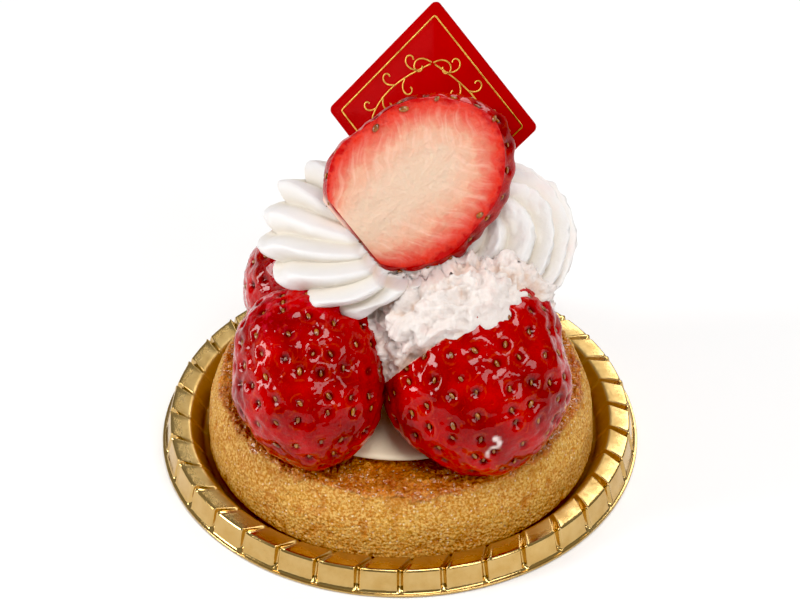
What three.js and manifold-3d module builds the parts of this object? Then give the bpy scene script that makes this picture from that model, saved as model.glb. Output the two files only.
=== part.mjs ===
// A strawberry tart in its moulded gold portion case.
//
// A low shortcrust tart, browned on top, carries a smooth bed of cream, four whole glazed strawberries leaning
// inwards with their tips on the crust, whipped cream between and over them, two piped rosettes, half a
// strawberry with its cut face to the front, and a red card standing on one corner behind it.
//
// Millimetres, +Z up. The origin is the middle of the case's underside, which rests on the table, and the front
// of the tart faces -Y.

import * as THREE from "three";
import { mergeVertices } from "three/addons/utils/BufferGeometryUtils.js";
import Module from "manifold-3d";

const wasm = await Module();
wasm.setup();

const TAU = 2 * Math.PI;
const GAP = 0.32; // air between two pieces that lie against each other
const ROOM = GAP + 0.25; // air round a piece whose room is coarser than the piece, or ridged

// The case: a thin sheet with a flat floor, a hollow rim of slanted blocks and a flange on the table.
const CASE = {
  radius: 50,
  sheet: 0.6,
  blocks: 36,
  rimHeight: 5.4,
  innerEdgeDrop: 0.3,
  innerFootRadius: 41,
  innerTopRadius: 43.9,
  outerTopRadius: 48.1,
  outerFootRadius: 48.9,
  outerFootHeight: 1.1,
  grooveDepth: 1.0,
  grooveShare: 0.13, // half of a groove's width, as a share of the pitch
  slant: 0.4, // how far a groove runs round while it crosses the rim's top, as a share of the pitch
};

// The crust: straight-sided, a little narrower at the top, with a rounded shoulder and a crumbly sunken top.
const CRUST = {
  bottomZ: CASE.sheet + GAP,
  topZ: 15.4,
  footRadius: 39.1,
  topRadius: 38.1,
  shoulder: 1.3,
  middleDip: 0.9,
  columns: 66,
  crag: 0.45,
};

// The bed: a smooth low round of cream on the crust.
const BED = { radius: 28.6, height: 5, crown: 1.6, edge: 0.7, columns: 48 };

// Each whole berry: its middle, the way its tip points, its widths and length, where it is widest as a share of
// the way from the tip, how blunt the tip is, and the flat slice that took its leaves off: which way the slice
// faces and how far from the middle it lies.
const BERRIES = {
  strawberry_front_left: {
    middle: [-17.6, -20.3, 31.2],
    tip: [0.12, -0.66, -0.74],
    size: [30.6, 29.2, 37.2],
    widest: 0.5,
    blunt: 2.1,
    slice: { normal: [-0.12, 0.66, 0.74], reach: 17.4 },
    seed: 1,
  },
  strawberry_front_right: {
    middle: [14.9, -20.2, 31.6],
    tip: [0.22, -0.66, -0.7],
    size: [37.4, 31, 41],
    widest: 0.5,
    blunt: 2.1,
    slice: { normal: [-0.56, 0.58, 0.59], reach: 8.4 },
    seed: 2,
  },
  strawberry_back_left: {
    middle: [-18.8, 10.6, 29.2],
    tip: [-0.45, 0.5, -0.7],
    size: [29, 28, 33],
    widest: 0.56,
    blunt: 1.9,
    slice: { normal: [0.2, -0.5, 0.84], reach: 16 },
    seed: 3,
  },
  strawberry_back_right: {
    middle: [15.4, 17.2, 30.4],
    tip: [0.26, 0.64, -0.66],
    size: [32, 29, 35],
    widest: 0.58,
    blunt: 1.9,
    slice: { normal: [-0.2, -0.5, 0.84], reach: 15.5 },
    seed: 4,
  },
};

// How finely the berries are faceted, and how deep their seeds' pits are: those that show, the cut one, and the
// rooms that they leave in the cream and the crust.
const fine = { columns: 27, rows: 15, pit: 0.6, grow: 0 };
const smooth = { columns: 26, rows: 16, pit: 0, grow: 0 };
const coarse = { columns: 18, rows: 11, pit: 0, grow: ROOM };

// The half berry: its cut face looks to the front and leans back, its tip up and to the right.
const HALF = {
  middle: [4.5, -2.4, 64.9],
  lean: 27,
  tipAngle: 38.5,
  size: [32.4, 25, 40.4],
  widest: 0.57,
  blunt: 2.45,
  slice: { normal: [0, 0, 1], reach: 17.8 },
  seed: 5,
};

// The card: a square that stands on one corner, leans back and is turned about its upright diagonal.
const CARD = {
  middle: [6.2, 18, 66.6],
  side: 33.4,
  thickness: 0.7,
  corner: 1.2,
  lean: 26,
  turn: -32,
  roll: -12.5,
};

// Piped rosettes: ridged domes, each with its middle, the way its peak points, its radius, its heights above and
// below its widest ring, how full its section is (less is fuller), how far its peak stands off its middle, its
// ridges, and how its right side is drawn in under the mound.
const ROSETTES = {
  cream_rosette_left: {
    middle: [-4.5, 1.2, 50.2],
    peak: [0.06, -0.2, 0.98],
    radius: 24,
    front: 7.2,
    back: 6.5,
    section: 0.6,
    lean: [6.5, -8.5],
    ridges: 14,
    ridgeDepth: 0.17,
    dip: 2.6,
    twist: 0.15,
    phase: 5.5,
    drawnIn: { share: 0.35, towards: -20 },
  },
  cream_rosette_right: {
    middle: [18.6, 8.5, 42.5],
    peak: [-0.2, -0.3, 0.9],
    radius: 17,
    front: 14,
    back: 9,
    section: 0.8,
    lean: [0, 0],
    ridges: 8,
    ridgeDepth: 0.15,
    dip: 1.2,
    twist: 2.2,
    phase: 0,
    drawnIn: { share: 0, towards: 0 },
  },
};
const RIDGE_COLUMNS = 4;
const ROSETTE_ROWS = 11;
const CREASE_POWER = 1.7; // how narrow the creases are between the ridges
const DIP_RISE = 1.6; // how soon the creases reach their full dip above the widest ring

// The whipped cream between the berries: a lumpy mound, a smaller heap on it that holds the half berry and the
// card up, and a heap that spills forwards over the right berry's slice.
const MOUND = { middle: [4, -1, 34], radii: [27, 21, 16], lump: 0.06, columns: 22, rows: 11, seed: 21 };
const HEAP = { middle: [6, 11, 44], radii: [14, 9.5, 11], lump: 0.06, columns: 14, rows: 7, seed: 22 };
const SPILL = { middle: [11.8, -15.2, 43.4], radii: [15.4, 11.6, 10], lump: 0.03, columns: 20, rows: 9, seed: 24 };

/** A repeatable random source, so that the same seed always gives the same unevenness. */
function randomSource(seed) {
  let state = (seed * 2654435761) >>> 0;
  return () => {
    state = (Math.imul(state, 1664525) + 1013904223) >>> 0;
    return state / 4294967296;
  };
}

/** Slow unevenness over a round piece, about -1 to 1: a few waves in angle and along the length. */
function unevenness(seed) {
  const random = randomSource(seed);
  const waves = [1, 2, 3, 4].map((count) => ({
    count,
    along: 1 + 2 * random(),
    phase: TAU * random(),
    share: 1 / (1 + count),
  }));
  return (angle, along) =>
    waves.reduce(
      (sum, wave) => sum + wave.share * Math.sin(wave.count * angle + wave.phase + wave.along * TAU * along),
      0,
    );
}

/** A closed lathe whose every point is placed by a function of its row and its column. */
function shapedLathe(rows, columns, place) {
  const outline = Array.from({ length: rows + 1 }, (_, row) => new THREE.Vector2(1, row));
  const geometry = new THREE.LatheGeometry(outline, columns);
  const position = geometry.getAttribute("position");
  const point = new THREE.Vector3();
  for (let column = 0; column <= columns; column++) {
    for (let row = 0; row <= rows; row++) {
      place(row, column % columns, point);
      position.setXYZ(column * (rows + 1) + row, point.x, point.y, point.z);
    }
  }
  return geometry;
}

/** The closed solid of a geometry, for joining and cutting. */
function solidOf(geometry) {
  const bare = geometry.clone();
  bare.deleteAttribute("normal");
  bare.deleteAttribute("uv");
  const merged = mergeVertices(bare, 1e-3);
  const index = merged.index.array;
  const triangles = [];
  for (let corner = 0; corner < index.length; corner += 3) {
    const [a, b, c] = index.slice(corner, corner + 3);
    if (a !== b && b !== c && c !== a) {
      triangles.push(a, b, c);
    }
  }
  return new wasm.Manifold(
    new wasm.Mesh({
      numProp: 3,
      vertProperties: merged.getAttribute("position").array,
      triVerts: new Uint32Array(triangles),
    }),
  );
}

/** The largest single body of a solid, as a geometry. */
function geometryOf(solid) {
  const bodies = solid.decompose();
  const largest = bodies.reduce((best, body) => (body.volume() > best.volume() ? body : best));
  const mesh = largest.getMesh();
  const geometry = new THREE.BufferGeometry();
  geometry.setAttribute("position", new THREE.BufferAttribute(mesh.vertProperties, 3));
  geometry.setIndex(new THREE.BufferAttribute(mesh.triVerts, 1));
  geometry.computeVertexNormals();
  return geometry;
}

/** A solid with others cut out of it. */
function cutBy(solid, others) {
  return others.reduce((left, other) => left.subtract(other), solid);
}

/** A strawberry's radius, as a share of its widest, at a share of the way from the tip to the leaf end. */
function berryOutline(along, widest, blunt) {
  return along < widest
    ? Math.pow(1 - Math.pow(1 - along / widest, blunt), 0.62)
    : Math.sqrt(Math.max(0, 1 - Math.pow((along - widest) / (1 - widest), 2.5)));
}

/**
 * A strawberry with its tip at -Z, about its own middle. Every third point of its lattice is sunk, as the seeds'
 * pits are.
 */
function berryGeometry(berry, { columns, rows, pit, grow }) {
  const [width, depth, length] = berry.size;
  const wave = unevenness(berry.seed);
  return shapedLathe(rows, columns, (row, column, point) => {
    const along = (1 - Math.cos((Math.PI * row) / rows)) / 2;
    const pole = row === 0 || row === rows;
    const angle = (TAU * (column + row / 2)) / columns;
    const sunk = !pole && (((column - row) % 3) + 3) % 3 === 0;
    const share = pole ? 0 : berryOutline(along, berry.widest, berry.blunt) * (1 + 0.03 * wave(angle, along));
    const inset = sunk ? pit : 0;
    point.set(
      Math.cos(angle) * share * (width / 2 + grow - inset),
      Math.sin(angle) * share * (depth / 2 + grow - inset),
      (along - 0.5) * (length + 2 * grow),
    );
  });
}

/** The block of space beyond a berry's slice, which a flat cut takes away. */
function beyondSlice({ slice, size, middle }, grow) {
  const span = 2 * size[2];
  const block = new THREE.BoxGeometry(span, span, span).translate(0, 0, span / 2 + slice.reach + grow);
  return solidOf(block.applyMatrix4(aim([0, 0, 1], slice.normal, middle)));
}

/** A whole berry in its place, its leaf end sliced flat. */
function berrySolid(berry, detail) {
  const body = berryGeometry(berry, detail).applyMatrix4(aim([0, 0, -1], berry.tip, berry.middle));
  return solidOf(body).subtract(beyondSlice(berry, detail.grow));
}

/** The move that turns one local direction along another and puts the local origin at a place. */
function aim(local, direction, place) {
  const turn = new THREE.Quaternion().setFromUnitVectors(
    new THREE.Vector3(...local),
    new THREE.Vector3(...direction).normalize(),
  );
  return new THREE.Matrix4().makeRotationFromQuaternion(turn).setPosition(...place);
}

/** The gold case: one thin sheet, its rows running from the floor over the rim to the flange and back below. */
function caseGeometry() {
  const { sheet, rimHeight, innerEdgeDrop, innerFootRadius, innerTopRadius } = CASE;
  const { outerTopRadius, outerFootRadius, outerFootHeight, grooveDepth, grooveShare } = CASE;
  const inner = { radius: innerTopRadius, z: rimHeight - innerEdgeDrop, inward: -0.4, down: 0.7, slant: 1 };
  const outer = { radius: outerTopRadius, z: rimHeight, inward: 1, down: 0.9 };
  const foot = { radius: outerFootRadius, z: outerFootHeight, inward: 0.8, down: 0 };
  const below = (row) => ({ ...row, radius: row.radius - sheet, z: row.z - sheet });
  const rows = [
    { radius: 0, z: sheet },
    { radius: innerFootRadius, z: sheet },
    inner,
    outer,
    foot,
    { radius: CASE.radius, z: sheet },
    { radius: CASE.radius, z: 0 },
    { ...below(foot), z: 0 },
    below(outer),
    { ...below(inner), radius: innerTopRadius + sheet },
    { radius: innerFootRadius + sheet, z: 0 },
    { radius: 0, z: 0 },
  ].reverse();
  const pitch = TAU / CASE.blocks;
  const places = [0, grooveShare, 1 - grooveShare];
  return shapedLathe(rows.length - 1, CASE.blocks * places.length, (index, column, point) => {
    const row = rows[index];
    const block = Math.floor(column / places.length);
    const place = places[column % places.length];
    const sunk = place === 0 ? grooveDepth : 0;
    const angle = pitch * (block + place + (row.slant ?? 0) * CASE.slant);
    const radius = row.radius - (row.inward ?? 0) * sunk;
    const z = row.z - (row.down ?? 0) * sunk;
    point.set(Math.cos(angle) * radius, Math.sin(angle) * radius, z);
  });
}

/** The crust: one solid with a browned, crumbly top. */
function crustGeometry() {
  const { bottomZ, topZ, footRadius, topRadius, shoulder, middleDip, columns } = CRUST;
  const rows = [
    { radius: 0, z: bottomZ },
    { radius: footRadius - 0.6, z: bottomZ },
    { radius: footRadius, z: bottomZ + 0.8, crag: 0.2 },
    { radius: footRadius - 0.25, z: 5.5, crag: 0.35 },
    { radius: footRadius - 0.55, z: 9.5, crag: 0.35 },
    { radius: topRadius, z: topZ - shoulder, crag: 0.4 },
    { radius: topRadius - 0.3 * shoulder, z: topZ - 0.35 * shoulder, crag: 0.6 },
    { radius: topRadius - shoulder, z: topZ, crag: 0.8 },
    { radius: 33.6, z: topZ - 0.15, crag: 1 },
    { radius: 30.2, z: topZ - 0.5 * middleDip, crag: 1 },
    { radius: 25.5, z: topZ - 0.9 * middleDip, crag: 0.5 },
    { radius: 0, z: topZ - middleDip },
  ];
  const random = randomSource(11);
  const wave = unevenness(12);
  const crags = rows.map(() => Array.from({ length: columns }, () => 2 * random() - 1));
  return shapedLathe(rows.length - 1, columns, (index, column, point) => {
    const row = rows[index];
    const angle = (TAU * column) / columns;
    const share = (row.crag ?? 0) * CRUST.crag;
    const out = row.radius > 0 ? 0.5 * share * crags[index][column] + 0.3 * wave(angle, 0) : 0;
    const up = row.z > topZ - 2 ? share * crags[index][(column * 7) % columns] : 0;
    const radius = row.radius + out;
    point.set(Math.cos(angle) * radius, Math.sin(angle) * radius, row.z + up);
  });
}

/** The bed: a low round with a soft edge, its underside just clear of the crust. */
function bedGeometry(grow) {
  const { radius, height, crown, edge } = BED;
  const floor = CRUST.topZ - CRUST.middleDip + 1.1;
  const rows = [
    { radius: 0, z: floor - grow },
    { radius: radius - edge + grow, z: floor - grow },
    { radius: radius + grow, z: floor + edge },
    { radius: radius - edge + grow, z: floor + 2 * edge + grow },
    { radius: 0.5 * radius, z: floor + height - crown + grow },
    { radius: 0, z: floor + height + grow },
  ];
  const wave = unevenness(13);
  return shapedLathe(rows.length - 1, BED.columns, (index, column, point) => {
    const angle = (TAU * column) / BED.columns;
    const radius = rows[index].radius * (1 + 0.02 * wave(angle, 0));
    point.set(Math.cos(angle) * radius, Math.sin(angle) * radius, rows[index].z);
  });
}

/** A ridged dome with its peak at +Z: deep creases between round ridges that turn above its widest ring. */
function rosetteGeometry(rosette, grow) {
  const { radius, front, back, section, lean, ridges, ridgeDepth, dip, twist, phase, drawnIn } = rosette;
  const columns = ridges * RIDGE_COLUMNS;
  const degrees = THREE.MathUtils.degToRad;
  return shapedLathe(ROSETTE_ROWS, columns, (row, column, point) => {
    const pole = row === 0 || row === ROSETTE_ROWS;
    const climb = Math.PI * (row / ROSETTE_ROWS - 0.5);
    const level = Math.sin(climb);
    const inward = level < 0 ? 0 : 1 - Math.cos(climb);
    const height = (level < 0 ? back : front) + grow;
    const angle = (TAU * column) / columns + degrees(phase);
    const fromCrest = Math.abs((2 * (column % RIDGE_COLUMNS)) / RIDGE_COLUMNS - 1);
    const crease = Math.pow(fromCrest, CREASE_POWER);
    const drawn = 1 - drawnIn.share * Math.max(0, Math.cos(angle - degrees(drawnIn.towards)));
    const spread = pole ? 0 : Math.pow(Math.cos(climb), section) * (1 - ridgeDepth * crease) * drawn;
    const sunk = pole || level < 0 ? 0 : dip * fromCrest * (1 - inward) * Math.min(1, DIP_RISE * level);
    const turned = angle + twist * Math.max(0, level);
    point.set(
      Math.cos(turned) * spread * (radius + grow) + inward * lean[0],
      Math.sin(turned) * spread * (radius + grow) + inward * lean[1],
      level * height - sunk,
    );
  });
}

/** A lumpy round of whipped cream. */
function lumpGeometry({ middle, radii, lump, columns, rows, seed }) {
  const wave = unevenness(seed);
  const random = randomSource(seed);
  const lumps = Array.from({ length: (rows + 1) * columns }, () => 2 * random() - 1);
  return shapedLathe(rows, columns, (row, column, point) => {
    const climb = Math.PI * (row / rows - 0.5);
    const angle = (TAU * column) / columns;
    const pole = row === 0 || row === rows;
    const uneven = pole ? 1 : 1 + lump * (wave(angle, row / rows) + 0.5 * lumps[row * columns + column]);
    const across = pole ? 0 : Math.cos(climb) * uneven;
    point.set(
      middle[0] + Math.cos(angle) * across * radii[0],
      middle[1] + Math.sin(angle) * across * radii[1],
      middle[2] + Math.sin(climb) * radii[2] * uneven,
    );
  });
}

/** The half berry's place: its cut face is the local plane Y = 0, its skin behind it at +Y. */
function halfPlace() {
  return new THREE.Matrix4()
    .makeTranslation(...HALF.middle)
    .multiply(new THREE.Matrix4().makeRotationX(THREE.MathUtils.degToRad(-HALF.lean)))
    .multiply(new THREE.Matrix4().makeRotationY(THREE.MathUtils.degToRad(-90 - HALF.tipAngle)));
}

/** The half berry as a solid: a whole one cut through along its length. */
function halfSolid(grow) {
  const whole = berryGeometry(HALF, { ...smooth, grow });
  const span = 2 * HALF.size[2];
  const front = new THREE.BoxGeometry(span, span, span).translate(0, -span / 2 - grow, 0);
  const half = cutBy(solidOf(whole), [solidOf(front), beyondSlice({ ...HALF, middle: [0, 0, 0] }, grow)]);
  return solidOf(geometryOf(half).applyMatrix4(halfPlace()));
}

/** The card: a square plate with rounded corners, in the local XZ plane, then turned into its place. */
function cardGeometry(grow) {
  const side = CARD.side / 2 + grow;
  const corner = CARD.corner;
  const shape = new THREE.Shape();
  const inset = side - corner;
  shape.absarc(inset, inset, corner, 0, TAU / 4);
  shape.absarc(-inset, inset, corner, TAU / 4, TAU / 2);
  shape.absarc(-inset, -inset, corner, TAU / 2, 0.75 * TAU);
  shape.absarc(inset, -inset, corner, 0.75 * TAU, TAU);
  const thickness = CARD.thickness + 2 * grow;
  const plate = new THREE.ExtrudeGeometry(shape, { depth: thickness, bevelEnabled: false, curveSegments: 3 });
  const degrees = THREE.MathUtils.degToRad;
  return plate
    .translate(0, 0, -thickness / 2)
    .rotateX(Math.PI / 2)
    .rotateY(degrees(45 + CARD.roll))
    .rotateX(degrees(-CARD.lean))
    .rotateZ(degrees(CARD.turn))
    .translate(...CARD.middle);
}

const group = new THREE.Group();

/** Adds one piece to the model. */
function add(name, geometry, color, roughness, metalness = 0) {
  const mesh = new THREE.Mesh(geometry, new THREE.MeshStandardMaterial({ color, roughness, metalness }));
  mesh.name = name;
  group.add(mesh);
}

const berries = Object.entries(BERRIES).map(([name, berry]) => ({
  name,
  solid: berrySolid(berry, fine),
  grown: berrySolid(berry, coarse),
}));
const grownBerries = berries.map((berry) => berry.grown);
const halfRoom = solidOf(berryGeometry(HALF, { ...smooth, grow: GAP }).applyMatrix4(halfPlace()));
const grownCard = solidOf(cardGeometry(GAP));

add("gold_case", caseGeometry(), 0xd9a441, 0.2, 1);
add("tart_crust", geometryOf(cutBy(solidOf(crustGeometry()), grownBerries)), 0xc98d45, 0.8);
add("cream_bed", geometryOf(cutBy(solidOf(bedGeometry(0)), grownBerries)), 0xf3e6c8, 0.6);
berries.forEach((berry, index) => {
  const earlier = grownBerries.slice(0, index);
  add(berry.name, geometryOf(cutBy(berry.solid, earlier)), 0xc01018, 0.25);
});

const rosettes = Object.entries(ROSETTES).map(([name, rosette]) => {
  const place = aim([0, 0, 1], rosette.peak, rosette.middle);
  return {
    name,
    solid: solidOf(rosetteGeometry(rosette, 0).applyMatrix4(place)),
    grown: solidOf(rosetteGeometry(rosette, ROOM).applyMatrix4(place)),
  };
});
const [left, right] = rosettes;
const topped = [...grownBerries, halfRoom, grownCard];
add(left.name, geometryOf(cutBy(left.solid, topped)), 0xfaf6ec, 0.6);
add(right.name, geometryOf(cutBy(right.solid, [...topped, left.grown])), 0xfaf6ec, 0.6);
const underMound = [solidOf(bedGeometry(GAP)), left.grown, right.grown];
const [whipped, heap, spill] = [MOUND, HEAP, SPILL].map((lump) => solidOf(lumpGeometry(lump)));
const mound = cutBy(whipped.add(heap).add(spill), [...topped, ...underMound]);
add("cream_mound", geometryOf(mound), 0xfaf6ec, 0.6);
add("strawberry_half", geometryOf(halfSolid(0)), 0xd8452f, 0.35);
add("red_card", cardGeometry(0), 0xb00a14, 0.5);

export default group;
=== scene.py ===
"""The looks of a strawberry tart in its gold portion case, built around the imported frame.

Metres, +Z up. The front of the tart faces -Y and the case stands on the floor at Z = 0.
"""

import logging
import math
from collections.abc import Sequence
from dataclasses import dataclass, field
from enum import Enum

import bpy
import numpy as np
from mathutils import Matrix, Vector


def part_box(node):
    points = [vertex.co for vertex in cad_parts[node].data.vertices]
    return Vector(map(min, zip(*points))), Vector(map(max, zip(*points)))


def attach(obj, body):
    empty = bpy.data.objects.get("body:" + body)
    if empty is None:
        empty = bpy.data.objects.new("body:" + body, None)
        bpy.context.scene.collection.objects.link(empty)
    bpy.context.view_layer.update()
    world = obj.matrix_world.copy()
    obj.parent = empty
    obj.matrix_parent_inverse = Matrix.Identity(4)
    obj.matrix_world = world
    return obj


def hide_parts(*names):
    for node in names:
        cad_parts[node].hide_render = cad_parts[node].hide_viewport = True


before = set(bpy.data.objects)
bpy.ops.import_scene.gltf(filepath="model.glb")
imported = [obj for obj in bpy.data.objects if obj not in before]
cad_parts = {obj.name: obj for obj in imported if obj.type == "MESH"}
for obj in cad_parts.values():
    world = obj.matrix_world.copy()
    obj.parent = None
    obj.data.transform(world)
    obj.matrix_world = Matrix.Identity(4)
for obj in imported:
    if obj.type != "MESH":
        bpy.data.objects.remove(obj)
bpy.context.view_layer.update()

BODY = "root"
TAU = 2 * math.pi
HUB = 0.004
log = logging.getLogger("strawberry_tart")

Triple = tuple[float, float, float]
Colour = Triple


def srgb(red: int, green: int, blue: int) -> Colour:
    """Turns a screen colour into the linear colour that shaders use.

    Args:
        red: Red, 0 to 255.
        green: Green, 0 to 255.
        blue: Blue, 0 to 255.

    Returns:
        The linear colour.
    """
    shares = (channel / 255 for channel in (red, green, blue))
    return tuple(share / 12.92 if share <= 0.04045 else ((share + 0.055) / 1.055) ** 2.4 for share in shares)


def smooth_step(value: np.ndarray, low: float, high: float) -> np.ndarray:
    """Rises softly from 0 at low to 1 at high.

    Args:
        value: The values to map.
        low: Where the rise starts.
        high: Where the rise ends.

    Returns:
        The mapped values.
    """
    share = np.clip((value - low) / (high - low), 0, 1)
    return share * share * (3 - 2 * share)


class Slot(Enum):
    """The material slots."""

    GOLD = "gold_foil"
    CRUST = "crust"
    IVORY = "smooth_cream"
    CREAM = "whipped_cream"
    SKIN = "strawberry_skin"
    FLESH = "strawberry_flesh"
    CARD = "red_card"


class SpaceNoise:
    """Smooth repeatable unevenness in space, about -1 to 1."""

    CELLS = 32

    def __init__(self, seed: int) -> None:
        """Draws the lattice of values.

        Args:
            seed: The same seed always gives the same unevenness.
        """
        self.table = np.random.default_rng(seed).uniform(-1, 1, (self.CELLS,) * 3)

    def at(self, points: np.ndarray, scale: float) -> np.ndarray:
        """Reads the unevenness at some points.

        Args:
            points: The points, one a row.
            scale: The size of one lattice cell.

        Returns:
            One value a point.
        """
        place = points / scale
        base = np.floor(place).astype(int)
        share = place - base
        share = share * share * share * (share * (share * 6 - 15) + 10)
        total = np.zeros(len(points))
        for corner in np.ndindex(2, 2, 2):
            index = (base + corner) % self.CELLS
            weight = np.prod(np.where(np.array(corner) == 1, share, 1 - share), axis=1)
            total += weight * self.table[index[:, 0], index[:, 1], index[:, 2]]
        return total

    def layered(self, points: np.ndarray, scale: float, layers: int) -> np.ndarray:
        """Adds finer and fainter layers of the unevenness.

        Args:
            points: The points, one a row.
            scale: The size of the coarsest lattice cell.
            layers: How many layers, each half the scale of the last.

        Returns:
            One value a point.
        """
        total = np.zeros(len(points))
        for layer in range(layers):
            total += self.at(points + 3.7 * layer * scale, scale / 2**layer) / 2**layer
        return total

    def billows(self, points: np.ndarray, scale: float, layers: int) -> np.ndarray:
        """Gives round lumps with creases between them.

        Args:
            points: The points, one a row.
            scale: The size of the coarsest lattice cell.
            layers: How many layers, each half the scale of the last.

        Returns:
            One value a point, 0 in the creases.
        """
        total = np.zeros(len(points))
        for layer in range(layers):
            total += np.abs(self.at(points + 5.3 * layer * scale, scale / 2**layer)) / 2**layer
        return total


@dataclass
class Waves:
    """Slow unevenness round a piece: four waves in angle and along its length."""

    SPREAD = 2654435761
    FACTOR = 1664525
    STEP = 1013904223
    RANGE = 2**32
    COUNT = 4

    seed: int

    def __call__(self, angle: np.ndarray, along: np.ndarray) -> np.ndarray:
        """Reads the unevenness, about -1 to 1.

        Args:
            angle: The angles round the piece.
            along: The shares of the way along it.

        Returns:
            The unevenness.
        """
        state = (self.seed * self.SPREAD) % self.RANGE
        draws = []
        for _ in range(2 * self.COUNT):
            state = (state * self.FACTOR + self.STEP) % self.RANGE
            draws.append(state / self.RANGE)
        total = np.zeros(np.broadcast(angle, along).shape)
        for count in range(1, self.COUNT + 1):
            lengthwise = 1 + 2 * draws[2 * count - 2]
            phase = TAU * draws[2 * count - 1]
            total = total + np.sin(count * angle + phase + lengthwise * TAU * along) / (1 + count)
        return total


class Piece:
    """A mesh piece of the tart, ready to be dressed."""

    def __init__(self, name: str, points: np.ndarray, faces: list) -> None:
        """Makes the mesh and its object.

        Args:
            name: The name of the piece.
            points: Its points, one a row.
            faces: The point numbers of each face.
        """
        mesh = bpy.data.meshes.new(name)
        mesh.from_pydata(points.tolist(), [], faces)
        mesh.update()
        self.object = bpy.data.objects.new(name, mesh)
        bpy.context.scene.collection.objects.link(self.object)

    @classmethod
    def from_mesh(cls, name: str, mesh: bpy.types.Mesh) -> "Piece":
        """Wraps a finished mesh.

        Args:
            name: The name of the piece.
            mesh: The mesh.

        Returns:
            The piece.
        """
        piece = cls.__new__(cls)
        piece.object = bpy.data.objects.new(name, mesh)
        bpy.context.scene.collection.objects.link(piece.object)
        return piece

    def points(self) -> np.ndarray:
        """Returns the piece's points, one a row."""
        flat = np.empty(3 * len(self.object.data.vertices))
        self.object.data.vertices.foreach_get("co", flat)
        return flat.reshape(-1, 3)

    def normals(self) -> np.ndarray:
        """Returns the piece's normals at its points."""
        flat = np.empty(3 * len(self.object.data.vertices), dtype=np.float32)
        self.object.data.vertex_normals.foreach_get("vector", flat)
        return flat.reshape(-1, 3).astype(float)

    def move_points(self, points: np.ndarray) -> None:
        """Puts the piece's points in new places.

        Args:
            points: The new places, one a row.
        """
        self.object.data.vertices.foreach_set("co", points.ravel())
        self.object.data.update()

    def paint(self, name: str, values: np.ndarray) -> None:
        """Stores one value a point for the piece's material to read.

        Args:
            name: The attribute's name.
            values: The values.
        """
        attribute = self.object.data.attributes.new(name, "FLOAT", "POINT")
        attribute.data.foreach_set("value", np.asarray(values, dtype=np.float32).ravel())

    def joined(self, points: np.ndarray, faces: list, material: int) -> "Piece":
        """Adds separate faces with a material of their own. The piece is painted only after this.

        Args:
            points: The points to add, one a row.
            faces: The faces to add, by their own point numbers.
            material: The number of their material.

        Returns:
            The joined piece.
        """
        mesh = self.object.data
        name = self.object.name
        kept = (self.points(), [list(polygon.vertices) for polygon in mesh.polygons])
        numbers = [polygon.material_index for polygon in mesh.polygons]
        bpy.data.objects.remove(self.object)
        bpy.data.meshes.remove(mesh)
        piece = Piece(name, *gathered([kept, (points, faces)]))
        piece.object.data.polygons.foreach_set("material_index", numbers + [material] * len(faces))
        return piece

    def dress(self, materials: Sequence[bpy.types.Material], slot: Slot, nodes: Sequence[str] = ()) -> None:
        """Gives the piece its materials, its body and the nodes that it stands for.

        Args:
            materials: The piece's materials.
            slot: The slot that its finish comes from. It is not used.
            nodes: The frame's nodes that it replaces.
        """
        for material in materials:
            self.object.data.materials.append(material)
        self.object.data.shade_smooth()
        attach(self.object, BODY)
        if nodes:
            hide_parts(*nodes)
        log.info("%s: %d faces", self.object.name, len(self.object.data.polygons))


def gathered(parts: Sequence[tuple[np.ndarray, list]]) -> tuple[np.ndarray, list]:
    """Puts separate parts into one list of points and one of faces.

    Args:
        parts: The points and the faces of each part.

    Returns:
        All the points, and all the faces by their numbers among them.
    """
    faces = []
    offset = 0
    for points, own_faces in parts:
        faces.extend([[offset + corner for corner in face] for face in own_faces])
        offset += len(points)
    return np.vstack([points for points, _ in parts]), faces


def closed_mesh(
    start: Sequence[float], rings: np.ndarray, end: Sequence[float]
) -> tuple[np.ndarray, list]:
    """Joins rings of points, with a fan to a point at each end.

    Args:
        start: The point below the first ring.
        rings: The rings, as rows by columns by 3.
        end: The point above the last ring.

    Returns:
        The points and the faces, which face outwards where the rings rise counter-clockwise.
    """
    rows, columns, _ = rings.shape
    lower = np.arange(rows - 1)[:, None] * columns
    here = np.arange(columns)[None, :]
    after = (here + 1) % columns
    quads = np.stack([lower + here, lower + after, lower + columns + after, lower + columns + here], axis=-1)
    faces = quads.reshape(-1, 4).tolist()
    bottom = rows * columns
    last = bottom - columns
    for column in range(columns):
        beside = (column + 1) % columns
        faces.append([bottom, beside, column])
        faces.append([bottom + 1, last + column, last + beside])
    return np.vstack([rings.reshape(-1, 3), [start], [end]]), faces


def closed_form(name: str, start: Sequence[float], rings: np.ndarray, end: Sequence[float]) -> Piece:
    """Returns a closed piece from rings of points and a point at each end."""
    return Piece(name, *closed_mesh(start, rings, end))


def ring_angles(columns: int) -> np.ndarray:
    """Returns the angles of one ring's points, in one row."""
    return (TAU * np.arange(columns) / columns)[None, :]


def turned_round(radius: np.ndarray, angle: np.ndarray, height: np.ndarray) -> np.ndarray:
    """Returns the points at some radii, angles and heights, with their three coordinates last."""
    return np.stack([radius * np.cos(angle), radius * np.sin(angle), height], axis=-1)


def turned(local: Sequence[float], direction: Sequence[float], place: Sequence[float]) -> Matrix:
    """Makes the move that turns one local direction along another.

    Args:
        local: The local direction.
        direction: Where it is to point.
        place: Where the local origin goes.

    Returns:
        The move.
    """
    turn = Vector(local).rotation_difference(Vector(direction).normalized())
    return Matrix.Translation(Vector(place)) @ turn.to_matrix().to_4x4()


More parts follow.
